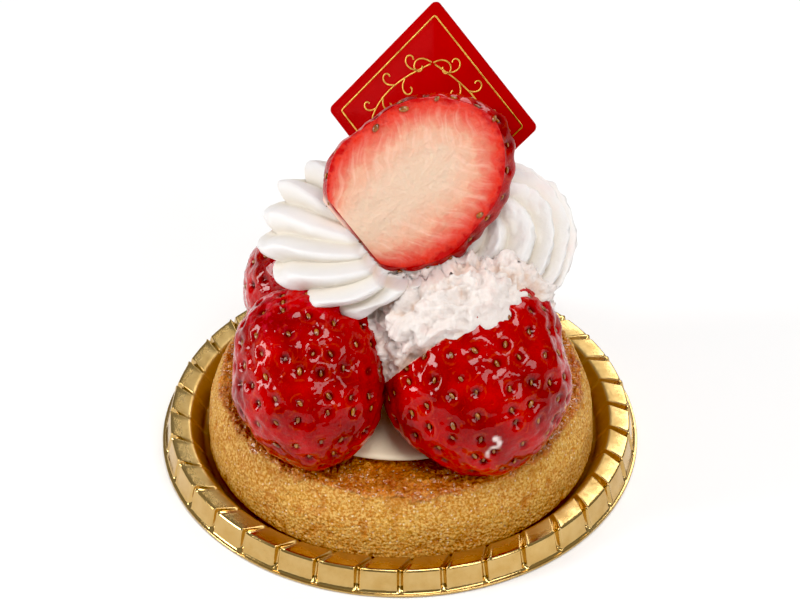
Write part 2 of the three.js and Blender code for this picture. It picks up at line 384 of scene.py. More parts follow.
def moved(points: np.ndarray, move: Matrix) -> np.ndarray:
    """Moves points.

    Args:
        points: The points, one a row.
        move: The move.

    Returns:
        The moved points.
    """
    matrix = np.array(move)
    return points @ matrix[:3, :3].T + matrix[:3, 3]


def path_through(corners: np.ndarray, steps: Sequence[int], softness: float) -> np.ndarray:
    """Samples a line through corners and rounds the corners.

    Args:
        corners: The corners, one a row, with any weights that go with them.
        steps: How many samples each stretch gets.
        softness: How far the rounding reaches, in samples.

    Returns:
        The samples, one a row.
    """
    stretches = []
    for start, end, count in zip(corners, corners[1:], steps):
        stretches.append(start + (end - start) * np.linspace(0, 1, count, endpoint=False)[:, None])
    line = np.vstack([*stretches, corners[-1:]])
    reach = max(1, math.ceil(3 * softness))
    kernel = np.exp(-0.5 * (np.arange(-reach, reach + 1) / softness) ** 2)
    kernel /= kernel.sum()
    padded = np.vstack([np.repeat(line[:1], reach, axis=0), line, np.repeat(line[-1:], reach, axis=0)])
    return np.stack([np.convolve(column, kernel, mode="valid") for column in padded.T], axis=-1)


class Shader:
    """A material's nodes, or a shader group's, and the small steps that join them."""

    def __init__(self, tree: bpy.types.NodeTree) -> None:
        """Keeps the node tree.

        Args:
            tree: The tree to add to.
        """
        self.tree = tree
        self.where = None

    def add(self, kind: str, inputs: dict | None = None, **settings: object) -> bpy.types.Node:
        """Adds a node.

        Args:
            kind: The node's type, without its prefix.
            inputs: What each input takes: another node's output or a plain value.
            **settings: The node's own settings.

        Returns:
            The node.
        """
        node = self.tree.nodes.new("ShaderNode" + kind)
        for name, value in settings.items():
            setattr(node, name, value)
        for name, value in (inputs or {}).items():
            self.feed(node.inputs[name], value)
        return node

    def feed(self, socket: bpy.types.NodeSocket, value: object) -> None:
        """Links an output to a socket, or sets the socket's value.

        Args:
            socket: The input socket.
            value: An output socket, a colour or a number.
        """
        if isinstance(value, bpy.types.NodeSocket):
            self.tree.links.new(value, socket)
        elif socket.type == "RGBA":
            socket.default_value = (*value[:3], 1)
        else:
            socket.default_value = value

    def painted(self, name: str) -> bpy.types.NodeSocket:
        """Returns the values that a piece was painted with, by name."""
        return self.add("Attribute", attribute_name=name).outputs["Fac"]

    def place(self) -> bpy.types.NodeSocket:
        """Finds the place on the object, with one node however often it is asked for.

        Returns:
            The place, in metres.
        """
        if self.where is None:
            self.where = self.add("TexCoord").outputs["Object"]
        return self.where

    def math(self, operation: str, first: object, second: object = 0.0) -> bpy.types.NodeSocket:
        """Joins two values.

        Args:
            operation: What to do with them.
            first: The first value.
            second: The second value.

        Returns:
            The result.
        """
        node = self.add("Math", operation=operation)
        self.feed(node.inputs[0], first)
        self.feed(node.inputs[1], second)
        return node.outputs[0]

    def times(self, first: object, second: object) -> bpy.types.NodeSocket:
        """Returns the product of two values."""
        return self.math("MULTIPLY", first, second)

    def spread(self, value: object, low: object, high: object) -> bpy.types.NodeSocket:
        """Maps low to high onto 0 to 1, clipped.

        Args:
            value: The value to map.
            low: What becomes 0.
            high: What becomes 1.

        Returns:
            The mapped value.
        """
        node = self.add("MapRange", {"From Min": low, "From Max": high})
        self.feed(node.inputs["Value"], value)
        return node.outputs["Result"]

    def blend(self, share: object, under: object, over: object) -> bpy.types.NodeSocket:
        """Mixes two colours.

        Args:
            share: How much of the second colour shows.
            under: The first colour.
            over: The second colour.

        Returns:
            The mixed colour.
        """
        node = self.add("Mix", data_type="RGBA")
        self.feed(node.inputs["Factor"], share)
        self.feed(node.inputs["A"], under)
        self.feed(node.inputs["B"], over)
        return node.outputs["Result"]

    def layered(self, under: object, layers: Sequence[tuple[object, float, Colour]]) -> bpy.types.NodeSocket:
        """Lays colours over a first one, each where its mask shows it.

        Args:
            under: The first colour.
            layers: The mask, the strength and the colour of each layer.

        Returns:
            The mixed colour.
        """
        for mask, strength, over in layers:
            under = self.blend(self.times(mask, strength), under, over)
        return under

    def group(self, tree: bpy.types.NodeTree, **values: float) -> bpy.types.NodeSocket:
        """Places a shader group on the surface with its own values.

        Args:
            tree: The group.
            **values: What its number inputs take, by name.

        Returns:
            The group's output.
        """
        node = self.tree.nodes.new("ShaderNodeGroup")
        node.node_tree = tree
        self.feed(node.inputs["Place"], self.place())
        for name, value in values.items():
            self.feed(node.inputs[name], value)
        return node.outputs[0]


def new_group(name: str, output: str, values: dict[str, float]) -> tuple[Shader, dict, bpy.types.NodeSocket]:
    """Starts a shader group that reads a place and some numbers and puts out one value.

    Args:
        name: The group's name.
        output: The name of its output.
        values: The default of each number that it takes, by name.

    Returns:
        The group's shader, its inputs by name, and the socket of its output.
    """
    tree = bpy.data.node_groups.new(name, "ShaderNodeTree")
    tree.interface.new_socket("Place", in_out="INPUT", socket_type="NodeSocketVector")
    for label, default in values.items():
        socket = tree.interface.new_socket(label, in_out="INPUT", socket_type="NodeSocketFloat")
        socket.default_value = default
    tree.interface.new_socket(output, in_out="OUTPUT", socket_type="NodeSocketFloat")
    start = tree.nodes.new("NodeGroupInput")
    end = tree.nodes.new("NodeGroupOutput")
    return Shader(tree), {label: start.outputs[label] for label in ("Place", *values)}, end.inputs[output]


def mottle_group() -> bpy.types.NodeTree:
    """Makes the group that puts cloudy patches over a surface.

    Returns:
        The group, with a Mask output from 0 to 1.
    """
    shader, entry, mask = new_group("Mottle", "Mask", {"Scale": 400.0, "Low": 0.35, "High": 0.65})
    place = {"Vector": entry["Place"], "Scale": entry["Scale"]}
    clouds = shader.add("TexNoise", {**place, "Detail": 5.0, "Roughness": 0.6})
    shader.feed(mask, shader.spread(clouds.outputs["Fac"], entry["Low"], entry["High"]))
    return shader.tree


def grain_group() -> bpy.types.NodeTree:
    """Makes the group that gives a fine even grain for bumps.

    Returns:
        The group, with a Height output.
    """
    shader, entry, height = new_group("Grain", "Height", {"Scale": 2000.0, "Pores": 0.3})
    place = {"Vector": entry["Place"], "Scale": entry["Scale"]}
    grain = shader.add("TexNoise", {**place, "Detail": 4.0, "Roughness": 0.65})
    pores = shader.add("TexVoronoi", place)
    sunk = shader.times(pores.outputs["Distance"], entry["Pores"])
    shader.feed(height, shader.math("ADD", grain.outputs["Fac"], sunk))
    return shader.tree


def specks_group() -> bpy.types.NodeTree:
    """Makes the group that scatters small round specks.

    Returns:
        The group, with a Mask output that is 1 inside a speck.
    """
    shader, entry, mask = new_group("Specks", "Mask", {"Scale": 1500.0, "Size": 0.25, "Share": 0.3})
    cells = shader.add("TexVoronoi", {"Vector": entry["Place"], "Scale": entry["Scale"]})
    inside = shader.math("LESS_THAN", cells.outputs["Distance"], entry["Size"])
    parts = shader.add("SeparateColor", {"Color": cells.outputs["Color"]})
    kept = shader.math("LESS_THAN", parts.outputs["Red"], entry["Share"])
    shader.feed(mask, shader.times(inside, kept))
    return shader.tree


@dataclass(frozen=True)
class Effects:
    """The shader groups that several finishes share."""

    mottle: bpy.types.NodeTree
    grain: bpy.types.NodeTree
    specks: bpy.types.NodeTree


class Finish:
    """A finish: it makes one material."""

    name = "finish"

    def make(self, effects: Effects) -> bpy.types.Material:
        """Makes the material.

        Args:
            effects: The shared shader groups.

        Returns:
            The material.
        """
        material = bpy.data.materials.new(self.name)
        material.use_nodes = True
        surface = material.node_tree.nodes["Principled BSDF"]
        self.build(Shader(material.node_tree), surface, effects)
        return material

    def build(self, shader: Shader, surface: bpy.types.Node, effects: Effects) -> None:
        """Joins the finish's nodes to the surface shader.

        Args:
            shader: The material's nodes.
            surface: The Principled BSDF.
            effects: The shared shader groups.
        """
        raise NotImplementedError

    @staticmethod
    def settle(surface: bpy.types.Node, values: dict[str, object]) -> None:
        """Sets what is the same all over the surface.

        Args:
            surface: The Principled BSDF.
            values: The value of each of its sockets, by name.
        """
        for name, value in values.items():
            surface.inputs[name].default_value = value

    @staticmethod
    def bump(shader: Shader, surface: bpy.types.Node, height: bpy.types.NodeSocket, depth: float) -> None:
        """Adds a bump to the surface.

        Args:
            shader: The material's nodes.
            surface: The Principled BSDF.
            height: The bump's height, about 0 to 1.
            depth: How deep a height of 1 is.
        """
        node = shader.add("Bump", {"Height": height, "Distance": depth, "Strength": 1.0})
        shader.feed(surface.inputs["Normal"], node.outputs["Normal"])


@dataclass(frozen=True)
class GoldFoil(Finish):
    """Mirror-bright gold sheet with faint dull patches."""

    name: str = "gold_foil"
    bright: Colour = srgb(208, 176, 116)
    deep: Colour = srgb(198, 162, 98)
    sheen: tuple[float, float] = (0.08, 0.2)
    inner_dull: float = 0.28
    patch_scale: float = 300.0
    ripple: float = 0.00003
    ripple_scale: float = 900.0

    def build(self, shader: Shader, surface: bpy.types.Node, effects: Effects) -> None:
        """Joins the gold's nodes."""
        patches = shader.group(effects.mottle, Scale=self.patch_scale)
        shader.feed(surface.inputs["Base Color"], shader.blend(patches, self.bright, self.deep))
        low, high = self.sheen
        patchy = shader.math("ADD", shader.times(patches, high - low), low)
        softened = shader.times(shader.painted("inner"), self.inner_dull)
        shader.feed(surface.inputs["Roughness"], shader.math("ADD", patchy, softened))
        self.settle(surface, {"Metallic": 1.0})
        ripple = shader.group(effects.grain, Scale=self.ripple_scale, Pores=0.0)
        self.bump(shader, surface, ripple, self.ripple)


@dataclass(frozen=True)
class BakedCrust(Finish):
    """Shortcrust: pale sandy sides, browned and sugared on top. Its pale specks are sugar and partly painted
    glints, and its pores, pits, cracks and top hollows carry painted shade.
    """

    name: str = "baked_crust"
    side: Colour = srgb(206, 142, 42)
    side_pale: Colour = srgb(252, 214, 128)
    side_dark: Colour = srgb(186, 106, 20)
    top: Colour = srgb(250, 150, 38)
    top_dark: Colour = srgb(194, 84, 8)
    top_pale: Colour = srgb(246, 184, 84)
    sugar_glint: Colour = srgb(255, 240, 214)
    patch_scale: float = 130.0
    crumb_scale: float = 1900.0
    sugar_glint_scale: float = 1500.0
    pore_scale: float = 1000.0
    speck_size: float = 0.3
    grain: float = 0.0008
    grain_scale: float = 1500.0

    def build(self, shader: Shader, surface: bpy.types.Node, effects: Effects) -> None:
        """Joins the crust's nodes."""
        patches = shader.group(effects.mottle, Scale=self.patch_scale)
        crumbs = shader.group(effects.mottle, Scale=self.crumb_scale, Low=0.42, High=0.6)
        # pale specks: sugar, and partly painted glints; on the top they are also smoother
        sugar_glint = shader.group(effects.specks, Scale=self.sugar_glint_scale, Size=self.speck_size, Share=0.16)
        pores = shader.group(effects.specks, Scale=self.pore_scale, Size=self.speck_size, Share=0.25)
        browned = shader.painted("browned")
        side = shader.layered(self.side, [
            (patches, 0.7, self.side_dark),
            (crumbs, 0.65, self.side_pale),
            # painted shade: dark specks for the side's tiny pores
            (pores, 0.6, self.side_dark),
            (sugar_glint, 0.5, self.sugar_glint),
            # painted shade: the side is darker in its sunk pits and cracks
            (shader.painted("sunk"), 0.7, self.side_dark),
        ])
        glint = shader.times(sugar_glint, browned)
        top = shader.layered(self.top, [
            (patches, 1.0, self.top_dark),
            (crumbs, 0.5, self.top_pale),
            # painted shade: the top is darker in its hollows
            (shader.painted("hollow_shade"), 0.75, self.top_dark),
            (glint, 0.7, self.sugar_glint),
        ])
        shader.feed(surface.inputs["Base Color"], shader.blend(browned, side, top))
        shader.feed(surface.inputs["Roughness"], shader.math("SUBTRACT", 0.66, shader.times(glint, 0.4)))
        shader.feed(surface.inputs["Coat Weight"], shader.times(browned, 0.7))
        self.settle(surface, {
            "Coat Roughness": 0.1,
            "Subsurface Weight": 0.12,
            "Subsurface Radius": (1.0, 0.5, 0.2),
            "Subsurface Scale": 0.0012,
            "Specular IOR Level": 0.35,
        })
        grain = shader.group(effects.grain, Scale=self.grain_scale, Pores=0.9)
        coarser = shader.math("ADD", 0.6, shader.times(browned, 0.9))
        self.bump(shader, surface, shader.times(grain, coarser), self.grain)


@dataclass(frozen=True)
class Cream(Finish):
    """Whipped cream: white and soft, with painted shade, darker and slightly yellow, in its creases."""

    name: str = "whipped_cream"
    crest: Colour = srgb(229, 226, 225)
    crease: Colour = srgb(224, 214, 198)
    blush: Colour = srgb(236, 218, 214)
    blushing: float = 0.0
    blush_scale: float = 160.0
    grain: float = 0.00006
    grain_scale: float = 1200.0

    def build(self, shader: Shader, surface: bpy.types.Node, effects: Effects) -> None:
        """Joins the cream's nodes."""
        patches = shader.group(effects.mottle, Scale=self.blush_scale, Low=0.5, High=0.7)
        colour = shader.layered(self.crest, [
            # painted shade: the creases get a darker, yellower colour
            (shader.painted("crease"), 1.0, self.crease),
            (patches, self.blushing, self.blush),
        ])
        shader.feed(surface.inputs["Base Color"], colour)
        self.settle(surface, {
            "Roughness": 0.5,
            "Subsurface Weight": 0.35,
            "Subsurface Radius": (1.0, 0.92, 0.82),
            "Subsurface Scale": 0.0012,
            "Specular IOR Level": 0.4,
        })
        grain = shader.group(effects.grain, Scale=self.grain_scale, Pores=0.4)
        self.bump(shader, surface, grain, self.grain)


@dataclass(frozen=True)
class BerrySkin(Finish):
    """Strawberry skin under clear glaze: deep red, with orange veins and pale cuts; painted shade in its dark
    pits, orange rings round them that are partly painted highlight, pink patches near the leaf end that are
    partly painted sheen, and a pale streak.
    """

    name: str = "berry_skin"
    red: Colour = srgb(188, 0, 0)
    deep: Colour = srgb(128, 0, 0)
    vein: Colour = srgb(226, 62, 10)
    pit: Colour = srgb(74, 0, 0)
    ring_tint_and_highlight: Colour = srgb(236, 92, 20)
    shoulder: Colour = srgb(214, 30, 54)
    sliced: Colour = srgb(246, 208, 190)
    pale_streak: Colour = srgb(238, 214, 210)
    patch_scale: float = 120.0
    vein_scale: float = 480.0
    ripple: float = 0.0004
    ripple_scale: float = 640.0

    def build(self, shader: Shader, surface: bpy.types.Node, effects: Effects) -> None:
        """Joins the skin's nodes."""
        patches = shader.group(effects.mottle, Scale=self.patch_scale)
        broken = shader.group(effects.mottle, Scale=self.vein_scale, Low=0.47, High=0.62)
        veins = shader.times(shader.spread(shader.painted("between"), 0.7, 1.0), broken)
        # orange rings round the pits: partly the skin's own tint, partly painted highlight on their raised
        # rims
        ring_tints_and_highlights = shader.times(shader.painted("ring_tint_and_highlight"), shader.spread(broken, 0.0, 0.6))
        colour = shader.layered(self.red, [
            (patches, 1.0, self.deep),
            (veins, 0.5, self.vein),
            (ring_tints_and_highlights, 0.22, self.ring_tint_and_highlight),
            # painted shade: the pits are darker the deeper they are
            (shader.painted("pit"), 1.0, self.pit),
            # pinker in broken patches near the leaf end: partly the berry's own paler shoulder, partly
            # painted sheen
            (shader.times(shader.painted("shoulder"), broken), 0.7, self.shoulder),
            (shader.painted("sliced"), 1.0, self.sliced),
            (shader.painted("pale_streak"), 1.0, self.pale_streak),
        ])
        shader.feed(surface.inputs["Base Color"], colour)
        self.settle(surface, {
            "Roughness": 0.3,
            "Subsurface Weight": 0.12,
            "Subsurface Radius": (1.0, 0.12, 0.06),
            "Subsurface Scale": 0.0012,
            "Specular IOR Level": 0.04,
            "Coat Weight": 0.85,
            "Coat Roughness": 0.02,
            "Coat IOR": 1.36,
        })
        ripple = shader.group(effects.grain, Scale=self.ripple_scale, Pores=0.3)
        self.bump(shader, surface, ripple, self.ripple)


@dataclass(frozen=True)
class SeedHusk(Finish):
    """Strawberry seeds: golden brown and a little shiny."""

    name: str = "seed_husk"
    gold: Colour = srgb(176, 110, 28)
    brown: Colour = srgb(104, 44, 12)
    patch_scale: float = 700.0

    def build(self, shader: Shader, surface: bpy.types.Node, effects: Effects) -> None:
        """Joins the husk's nodes."""
        patches = shader.group(effects.mottle, Scale=self.patch_scale)
        shader.feed(surface.inputs["Base Color"], shader.blend(patches, self.gold, self.brown))
        self.settle(surface, {"Roughness": 0.3, "Coat Weight": 0.8, "Coat Roughness": 0.08})


@dataclass(frozen=True)
class CutFlesh(Finish):
    """Cut strawberry: a pale core, streaks running out to the rim, and a thin red edge."""

    name: str = "cut_flesh"
    core: Colour = srgb(226, 195, 170)
    flesh: Colour = srgb(228, 160, 130)
    outer: Colour = srgb(218, 34, 6)
    streak: Colour = srgb(246, 208, 186)
    rim: Colour = srgb(190, 12, 12)
    streak_stretch: float = 1.6
    pulp_scale: float = 500.0
    pulp_reach: float = 0.16
    grain: float = 0.00018
    grain_scale: float = 1400.0

    def build(self, shader: Shader, surface: bpy.types.Node, effects: Effects) -> None:
        """Joins the flesh's nodes."""
        across = shader.painted("across")
        outward = shader.times(across, self.streak_stretch)
        ray = shader.add("CombineXYZ", {"X": shader.painted("around"), "Y": outward}).outputs["Vector"]
        rays = shader.add("TexNoise", {"Vector": ray, "Scale": 1.0, "Detail": 4.0, "Roughness": 0.55})
        shown = shader.times(shader.spread(across, 0.15, 0.45), shader.spread(across, 0.92, 0.62))
        pulp = shader.group(effects.mottle, Scale=self.pulp_scale, Low=0.3, High=0.7)
        uneven = shader.times(shader.math("SUBTRACT", pulp, 0.5), self.pulp_reach)
        edge = shader.math("ADD", across, uneven)
        colour = shader.layered(self.core, [
            (shader.spread(edge, 0.22, 0.64), 1.0, self.flesh),
            (shader.spread(edge, 0.56, 0.86), 1.0, self.outer),
            (shader.times(shader.spread(rays.outputs["Fac"], 0.48, 0.72), shown), 0.6, self.streak),
            (pulp, 0.12, self.streak),
            (shader.spread(edge, 0.91, 1.0), 1.0, self.rim),
        ])
        shader.feed(surface.inputs["Base Color"], colour)
        self.settle(surface, {
            "Roughness": 0.38,
            "Subsurface Weight": 0.25,
            "Subsurface Radius": (1.0, 0.35, 0.25),
            "Subsurface Scale": 0.0015,
            "Specular IOR Level": 0.2,
            "Coat Weight": 0.35,
            "Coat Roughness": 0.2,
        })
        grain = shader.group(effects.grain, Scale=self.grain_scale, Pores=0.5)
        self.bump(shader, surface, grain, self.grain)


@dataclass(frozen=True)
class CoatedCard(Finish):
    """Red card with a smooth coat."""

    name: str = "coated_card"
    red: Colour = srgb(176, 2, 4)
    deep: Colour = srgb(162, 0, 2)
    patch_scale: float = 90.0
    grain: float = 0.00002
    grain_scale: float = 3000.0

    def build(self, shader: Shader, surface: bpy.types.Node, effects: Effects) -> None:
        """Joins the card's nodes."""
        patches = shader.group(effects.mottle, Scale=self.patch_scale)
        shader.feed(surface.inputs["Base Color"], shader.blend(patches, self.red, self.deep))
        self.settle(surface, {"Roughness": 0.6, "Specular IOR Level": 0.12})
        grain = shader.group(effects.grain, Scale=self.grain_scale, Pores=0.2)
        self.bump(shader, surface, grain, self.grain)


@dataclass(frozen=True)
class GoldPrint(Finish):
    """Gold foil print on the card."""

    name: str = "gold_print"
    gold: Colour = srgb(226, 182, 84)
    worn: Colour = srgb(176, 118, 44)
    patch_scale: float = 900.0

    def build(self, shader: Shader, surface: bpy.types.Node, effects: Effects) -> None:
        """Joins the print's nodes."""
        patches = shader.group(effects.mottle, Scale=self.patch_scale)
        shader.feed(surface.inputs["Base Color"], shader.blend(patches, self.gold, self.worn))
        self.settle(surface, {"Metallic": 0.6, "Roughness": 0.35})


@dataclass(frozen=True)
class PaleFloor(Finish):
    """A plain pale floor."""

    name: str = "pale_floor"
    white: Colour = (0.97, 0.97, 0.97)

    def build(self, shader: Shader, surface: bpy.types.Node, effects: Effects) -> None:
        """Sets the floor's plain values."""
        self.settle(surface, {"Base Color": (*self.white, 1), "Roughness": 0.9, "Specular IOR Level": 0.1})


@dataclass
class PortionCase:
    """The gold case: a thin moulded sheet with a rim of slanted blocks and a flange on the table."""

    node: str = "gold_case"
    radius: float = 0.050
    sheet: float = 0.0006
    blocks: int = 36
    rim_height: float = 0.0054
    inner_drop: float = 0.0003
    inner_foot: float = 0.041
    inner_top: float = 0.0439
    outer_top: float = 0.0481
    outer_foot: float = 0.0492
    foot_height: float = 0.0011
    groove_depth: float = 0.0009
    groove_floor: float = 0.00012
    groove_reach: float = 0.0007
    rib: float = 0.0003
    rib_width: float = 0.00024
    rib_beside: float = 0.0008
    slant: float = 0.32

    def profile(self) -> np.ndarray:
        """Works out the sheet's section from the middle of its top round to the middle of its underside.

        Returns:
            Rows of radius, height, inward share, downward share and slant.
        """
        sheet = self.sheet
        rim = self.rim_height
        low = rim - self.inner_drop
        corners = np.array([
            (HUB, sheet, 0, 0, 1),
            (self.inner_foot, sheet, 0, 0, 1),
            (self.inner_top, low, -0.4, 0.7, 1),
            (self.outer_top, rim, 1, 0.9, 0),
            (self.outer_foot, self.foot_height, 0.8, 0, 0),
            (self.outer_foot + 0.0003, sheet, 0, 0, 0),
            (self.radius, sheet, 0, 0, 0),
            (self.radius, 0, 0, 0, 0),
            (self.outer_foot, 0, 0, 0, 0),
            (self.outer_foot - sheet, self.foot_height, 0.8, 0, 0),
            (self.outer_top - sheet, rim - sheet, 1, 0.9, 0),
            (self.inner_top + sheet, low - sheet, -0.4, 0.7, 1),
            (self.inner_foot + sheet, 0, 0, 0, 1),
            (HUB, 0, 0, 0, 1),
        ])
        return path_through(corners, (8, 12, 14, 10, 3, 4, 3, 3, 3, 5, 6, 6, 4), 0.8)

    def places(self) -> np.ndarray:
        """Returns where the columns of one block lie, as shares of the pitch from a groove's middle."""
        pitch = TAU * self.outer_top / self.blocks
        near = np.array([0, 0.12, 0.26, 0.42, 0.58, 0.74, 0.9, 1.1, 1.4, 2.2]) * 0.001 / pitch
        return np.concatenate([near, [0.5], 1 - near[:0:-1]])

    def build(self) -> Piece:
        """Builds the case.

        Returns:
            The case's piece.
        """
        line = self.profile()[:, None, :]
        places = self.places()
        shares = (np.arange(self.blocks)[:, None] + places[None, :]).ravel()[None, :]
        off = (places - np.round(places)) * TAU * self.outer_top / self.blocks
        cut = 1 - smooth_step(np.abs(off), self.groove_floor, self.groove_reach)
        rib = np.exp(-(((off - self.rib_beside) / self.rib_width) ** 2)) * self.rib
        groove = np.tile(cut * self.groove_depth, self.blocks)[None, :]
        raised = np.tile(rib, self.blocks)[None, :]
        radius = line[..., 0] - line[..., 2] * (groove - 0.5 * raised)
        on_top = line[..., 3] * np.clip(line[..., 2] + 0.4, 0, 1)
        height = line[..., 1] - line[..., 3] * groove + on_top * raised
        angle = TAU / self.blocks * (shares + self.slant * line[..., 4])
        rings = turned_round(radius, angle, height)
        piece = closed_form("case_shell", (0, 0, 0), rings[::-1], (0, 0, self.sheet))
        inner = np.broadcast_to(line[..., 4], radius.shape)[::-1].ravel()
        piece.paint("inner", np.append(inner, (1, 1)))
        return piece

    def dress(self, effects: Effects) -> None:
        """Builds and dresses the case.

        Args:
            effects: The shared shader groups.
        """
        self.build().dress([GoldFoil().make(effects)], Slot.GOLD, [self.node])


@dataclass
class TartCrust:
    """The crust: nearly straight sides, a worn shoulder and a crumbly browned top."""

    node: str = "tart_crust"
    bottom: float = 0.00092
    top: float = 0.0154
    foot_radius: float = 0.0404
    foot_forward: float = 0.0010
    top_radius: float = 0.0381
    shoulder: float = 0.0013
    middle_dip: float = 0.0009
    columns: int = 930
    wave: float = 0.0003
    crumb: float = 0.00078
    pits: float = 0.0003
    rim_ridge: float = 0.0005
    rim_ridge_radius: float = 0.0335
    rim_ridge_width: float = 0.0007
    rim_wander: float = 0.0008
    sand: float = 0.00006
    nibble: float = 0.00035

    def profile(self) -> np.ndarray:
        """Works out the crust's section from its foot, up its side and in over its top.

        Returns:
            Rows of radius, height and browning.
        """
        drop = self.shoulder
        corners = np.array([
            (0.030, self.bottom, 0),
            (self.foot_radius - 0.0004, self.bottom, 0),
            (self.foot_radius, self.bottom + 0.0008, 0),
            (self.foot_radius - 0.00025, 0.0055, 0),
            (self.foot_radius - 0.00055, 0.0095, 0),
            (self.top_radius, self.top - drop, 0.15),
            (self.top_radius - 0.3 * drop, self.top - 0.35 * drop, 0.5),
            (self.top_radius - drop, self.top, 0.9),
            (0.0336, self.top - 0.00015, 1),
            (0.0302, self.top - 0.5 * self.middle_dip, 1),
            (0.0255, self.top - 0.9 * self.middle_dip, 1),
            (HUB, self.top - self.middle_dip, 1),
        ])
        return path_through(corners, (2, 2, 14, 12, 14, 6, 6, 18, 18, 8, 4), 1.3)

    def build(self) -> Piece:
        """Builds the crust and paints how browned it is, and its painted shade in the top's hollows and the
        side's pits and cracks.

        Returns:
            The crust's piece.
        """
        line = self.profile()[:, None, :]
        angle = ring_angles(self.columns)
        radius = line[..., 0] + self.wave * Waves(12)(angle, np.zeros(1)) * (line[..., 0] > 0.005)
        height = np.broadcast_to(line[..., 1], radius.shape)
        browned = np.broadcast_to(line[..., 2], radius.shape).ravel()
        points = turned_round(radius, angle, height).reshape(-1, 3)
        noise = SpaceNoise(31)
        lumps = noise.layered(points, 0.0042, 3)
        crumbs = noise.billows(points, 0.0013, 3)
        relief = browned * (self.crumb * (1.1 * crumbs - 0.6) + 0.3 * self.crumb * lumps)
        ridge_at = np.hypot(points[:, 0], points[:, 1]) - self.rim_ridge_radius - self.rim_wander * lumps
        ridge = np.exp(-((ridge_at / self.rim_ridge_width) ** 2))
        ridge *= smooth_step(noise.at(points, 0.009), -0.2, 0.5)
        relief += browned * self.rim_ridge * ridge
        sunk = np.clip(noise.at(points + 0.1, 0.0016) - 0.35, 0, 1)
        side = 1 - browned
        points[:, 1] -= self.foot_forward * side * (1 - points[:, 2] / self.top)
        cracks = smooth_step(-np.abs(noise.layered(points * (1, 1, 1.6), 0.0034, 3)), -0.07, 0.0)
        cracks *= smooth_step(noise.at(points + 0.2, 0.006), 0.0, 0.5)
        sand = self.sand * noise.layered(points, 0.0012, 2)
        relief -= side * (self.pits * (2.2 * sunk + cracks) - sand)
        nibble = np.exp(-(((browned - 0.5) / 0.3) ** 2)) * np.clip(noise.layered(points, 0.0028, 3), -1, 0.4)
        relief += self.nibble * nibble
        outward = points * (1, 1, 0)
        outward /= np.linalg.norm(outward, axis=1, keepdims=True)
        tilt = smooth_step(browned, 0.2, 0.9)[:, None]
        lift = outward * (1 - tilt) + np.array((0, 0, 1.0)) * tilt
        lift /= np.linalg.norm(lift, axis=1, keepdims=True)
        rings = (points + lift * relief[:, None]).reshape(-1, self.columns, 3)
        piece = closed_form("crust_body", (0, 0, self.bottom), rings, (0, 0, self.top - self.middle_dip))
        uneven = browned + 0.35 * noise.layered(points, 0.003, 3) * np.exp(-(((browned - 0.4) / 0.4) ** 2))
        piece.paint("browned", np.append(smooth_step(uneven, 0.25, 0.8), (0, 1)))
        # painted shade: how deep in a hollow each point of the top lies
        piece.paint("hollow_shade", np.append(browned * smooth_step(-lumps - 2 * crumbs, -1.3, 0.1), (0, 0)))
        # painted shade in the side's sunk pits and cracks
        piece.paint("sunk", np.append(np.clip(1.6 * sunk + cracks, 0, 1), (0, 0)))
        return piece

    def dress(self, effects: Effects) -> None:
        """Builds and dresses the crust.

        Args:
            effects: The shared shader groups.
        """
        self.build().dress([BakedCrust().make(effects)], Slot.CRUST, [self.node])


@dataclass
class CreamBed:
    """The bed: a smooth low round of ivory cream on the crust."""

    node: str = "cream_bed"
    radius: float = 0.0286
    height: float = 0.005
    crown: float = 0.0016
    edge: float = 0.0007
    softness: float = 0.0002
    columns: int = 180

    def build(self) -> Piece:
        """Builds the bed.

        Returns:
            The bed's piece.
        """
        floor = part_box(self.node)[0][2]
        corners = np.array([
            (HUB, floor),
            (self.radius - self.edge, floor),
            (self.radius, floor + self.edge),
            (self.radius - self.edge, floor + 2 * self.edge),
            (0.5 * self.radius, floor + self.height - self.crown),
            (HUB, floor + self.height),
        ])
        line = path_through(corners, (6, 5, 5, 16, 10), 1.2)[:, None, :]
        angle = ring_angles(self.columns)
        radius = line[..., 0] * (1 + 0.02 * Waves(13)(angle, np.zeros(1)))
        height = np.broadcast_to(line[..., 1], radius.shape)
        points = turned_round(radius, angle, height)
        soft = SpaceNoise(41).layered(points.reshape(-1, 3), 0.006, 2).reshape(height.shape)
        points[..., 2] += self.softness * soft * (points[..., 2] > floor + self.edge)
        piece = closed_form("bed_round", (0, 0, floor), points, (0, 0, floor + self.height))
        piece.paint("crease", np.full(points.shape[0] * points.shape[1] + 2, 1.0))
        return piece

    def dress(self, effects: Effects) -> None:
        """Builds and dresses the bed.

        Args:
            effects: The shared shader groups.
        """
        ivory = Cream(
            name="ivory_cream", crest=srgb(248, 238, 214), crease=srgb(244, 230, 200), grain=0.00002
        )
        self.build().dress([ivory.make(effects)], Slot.IVORY, [self.node])


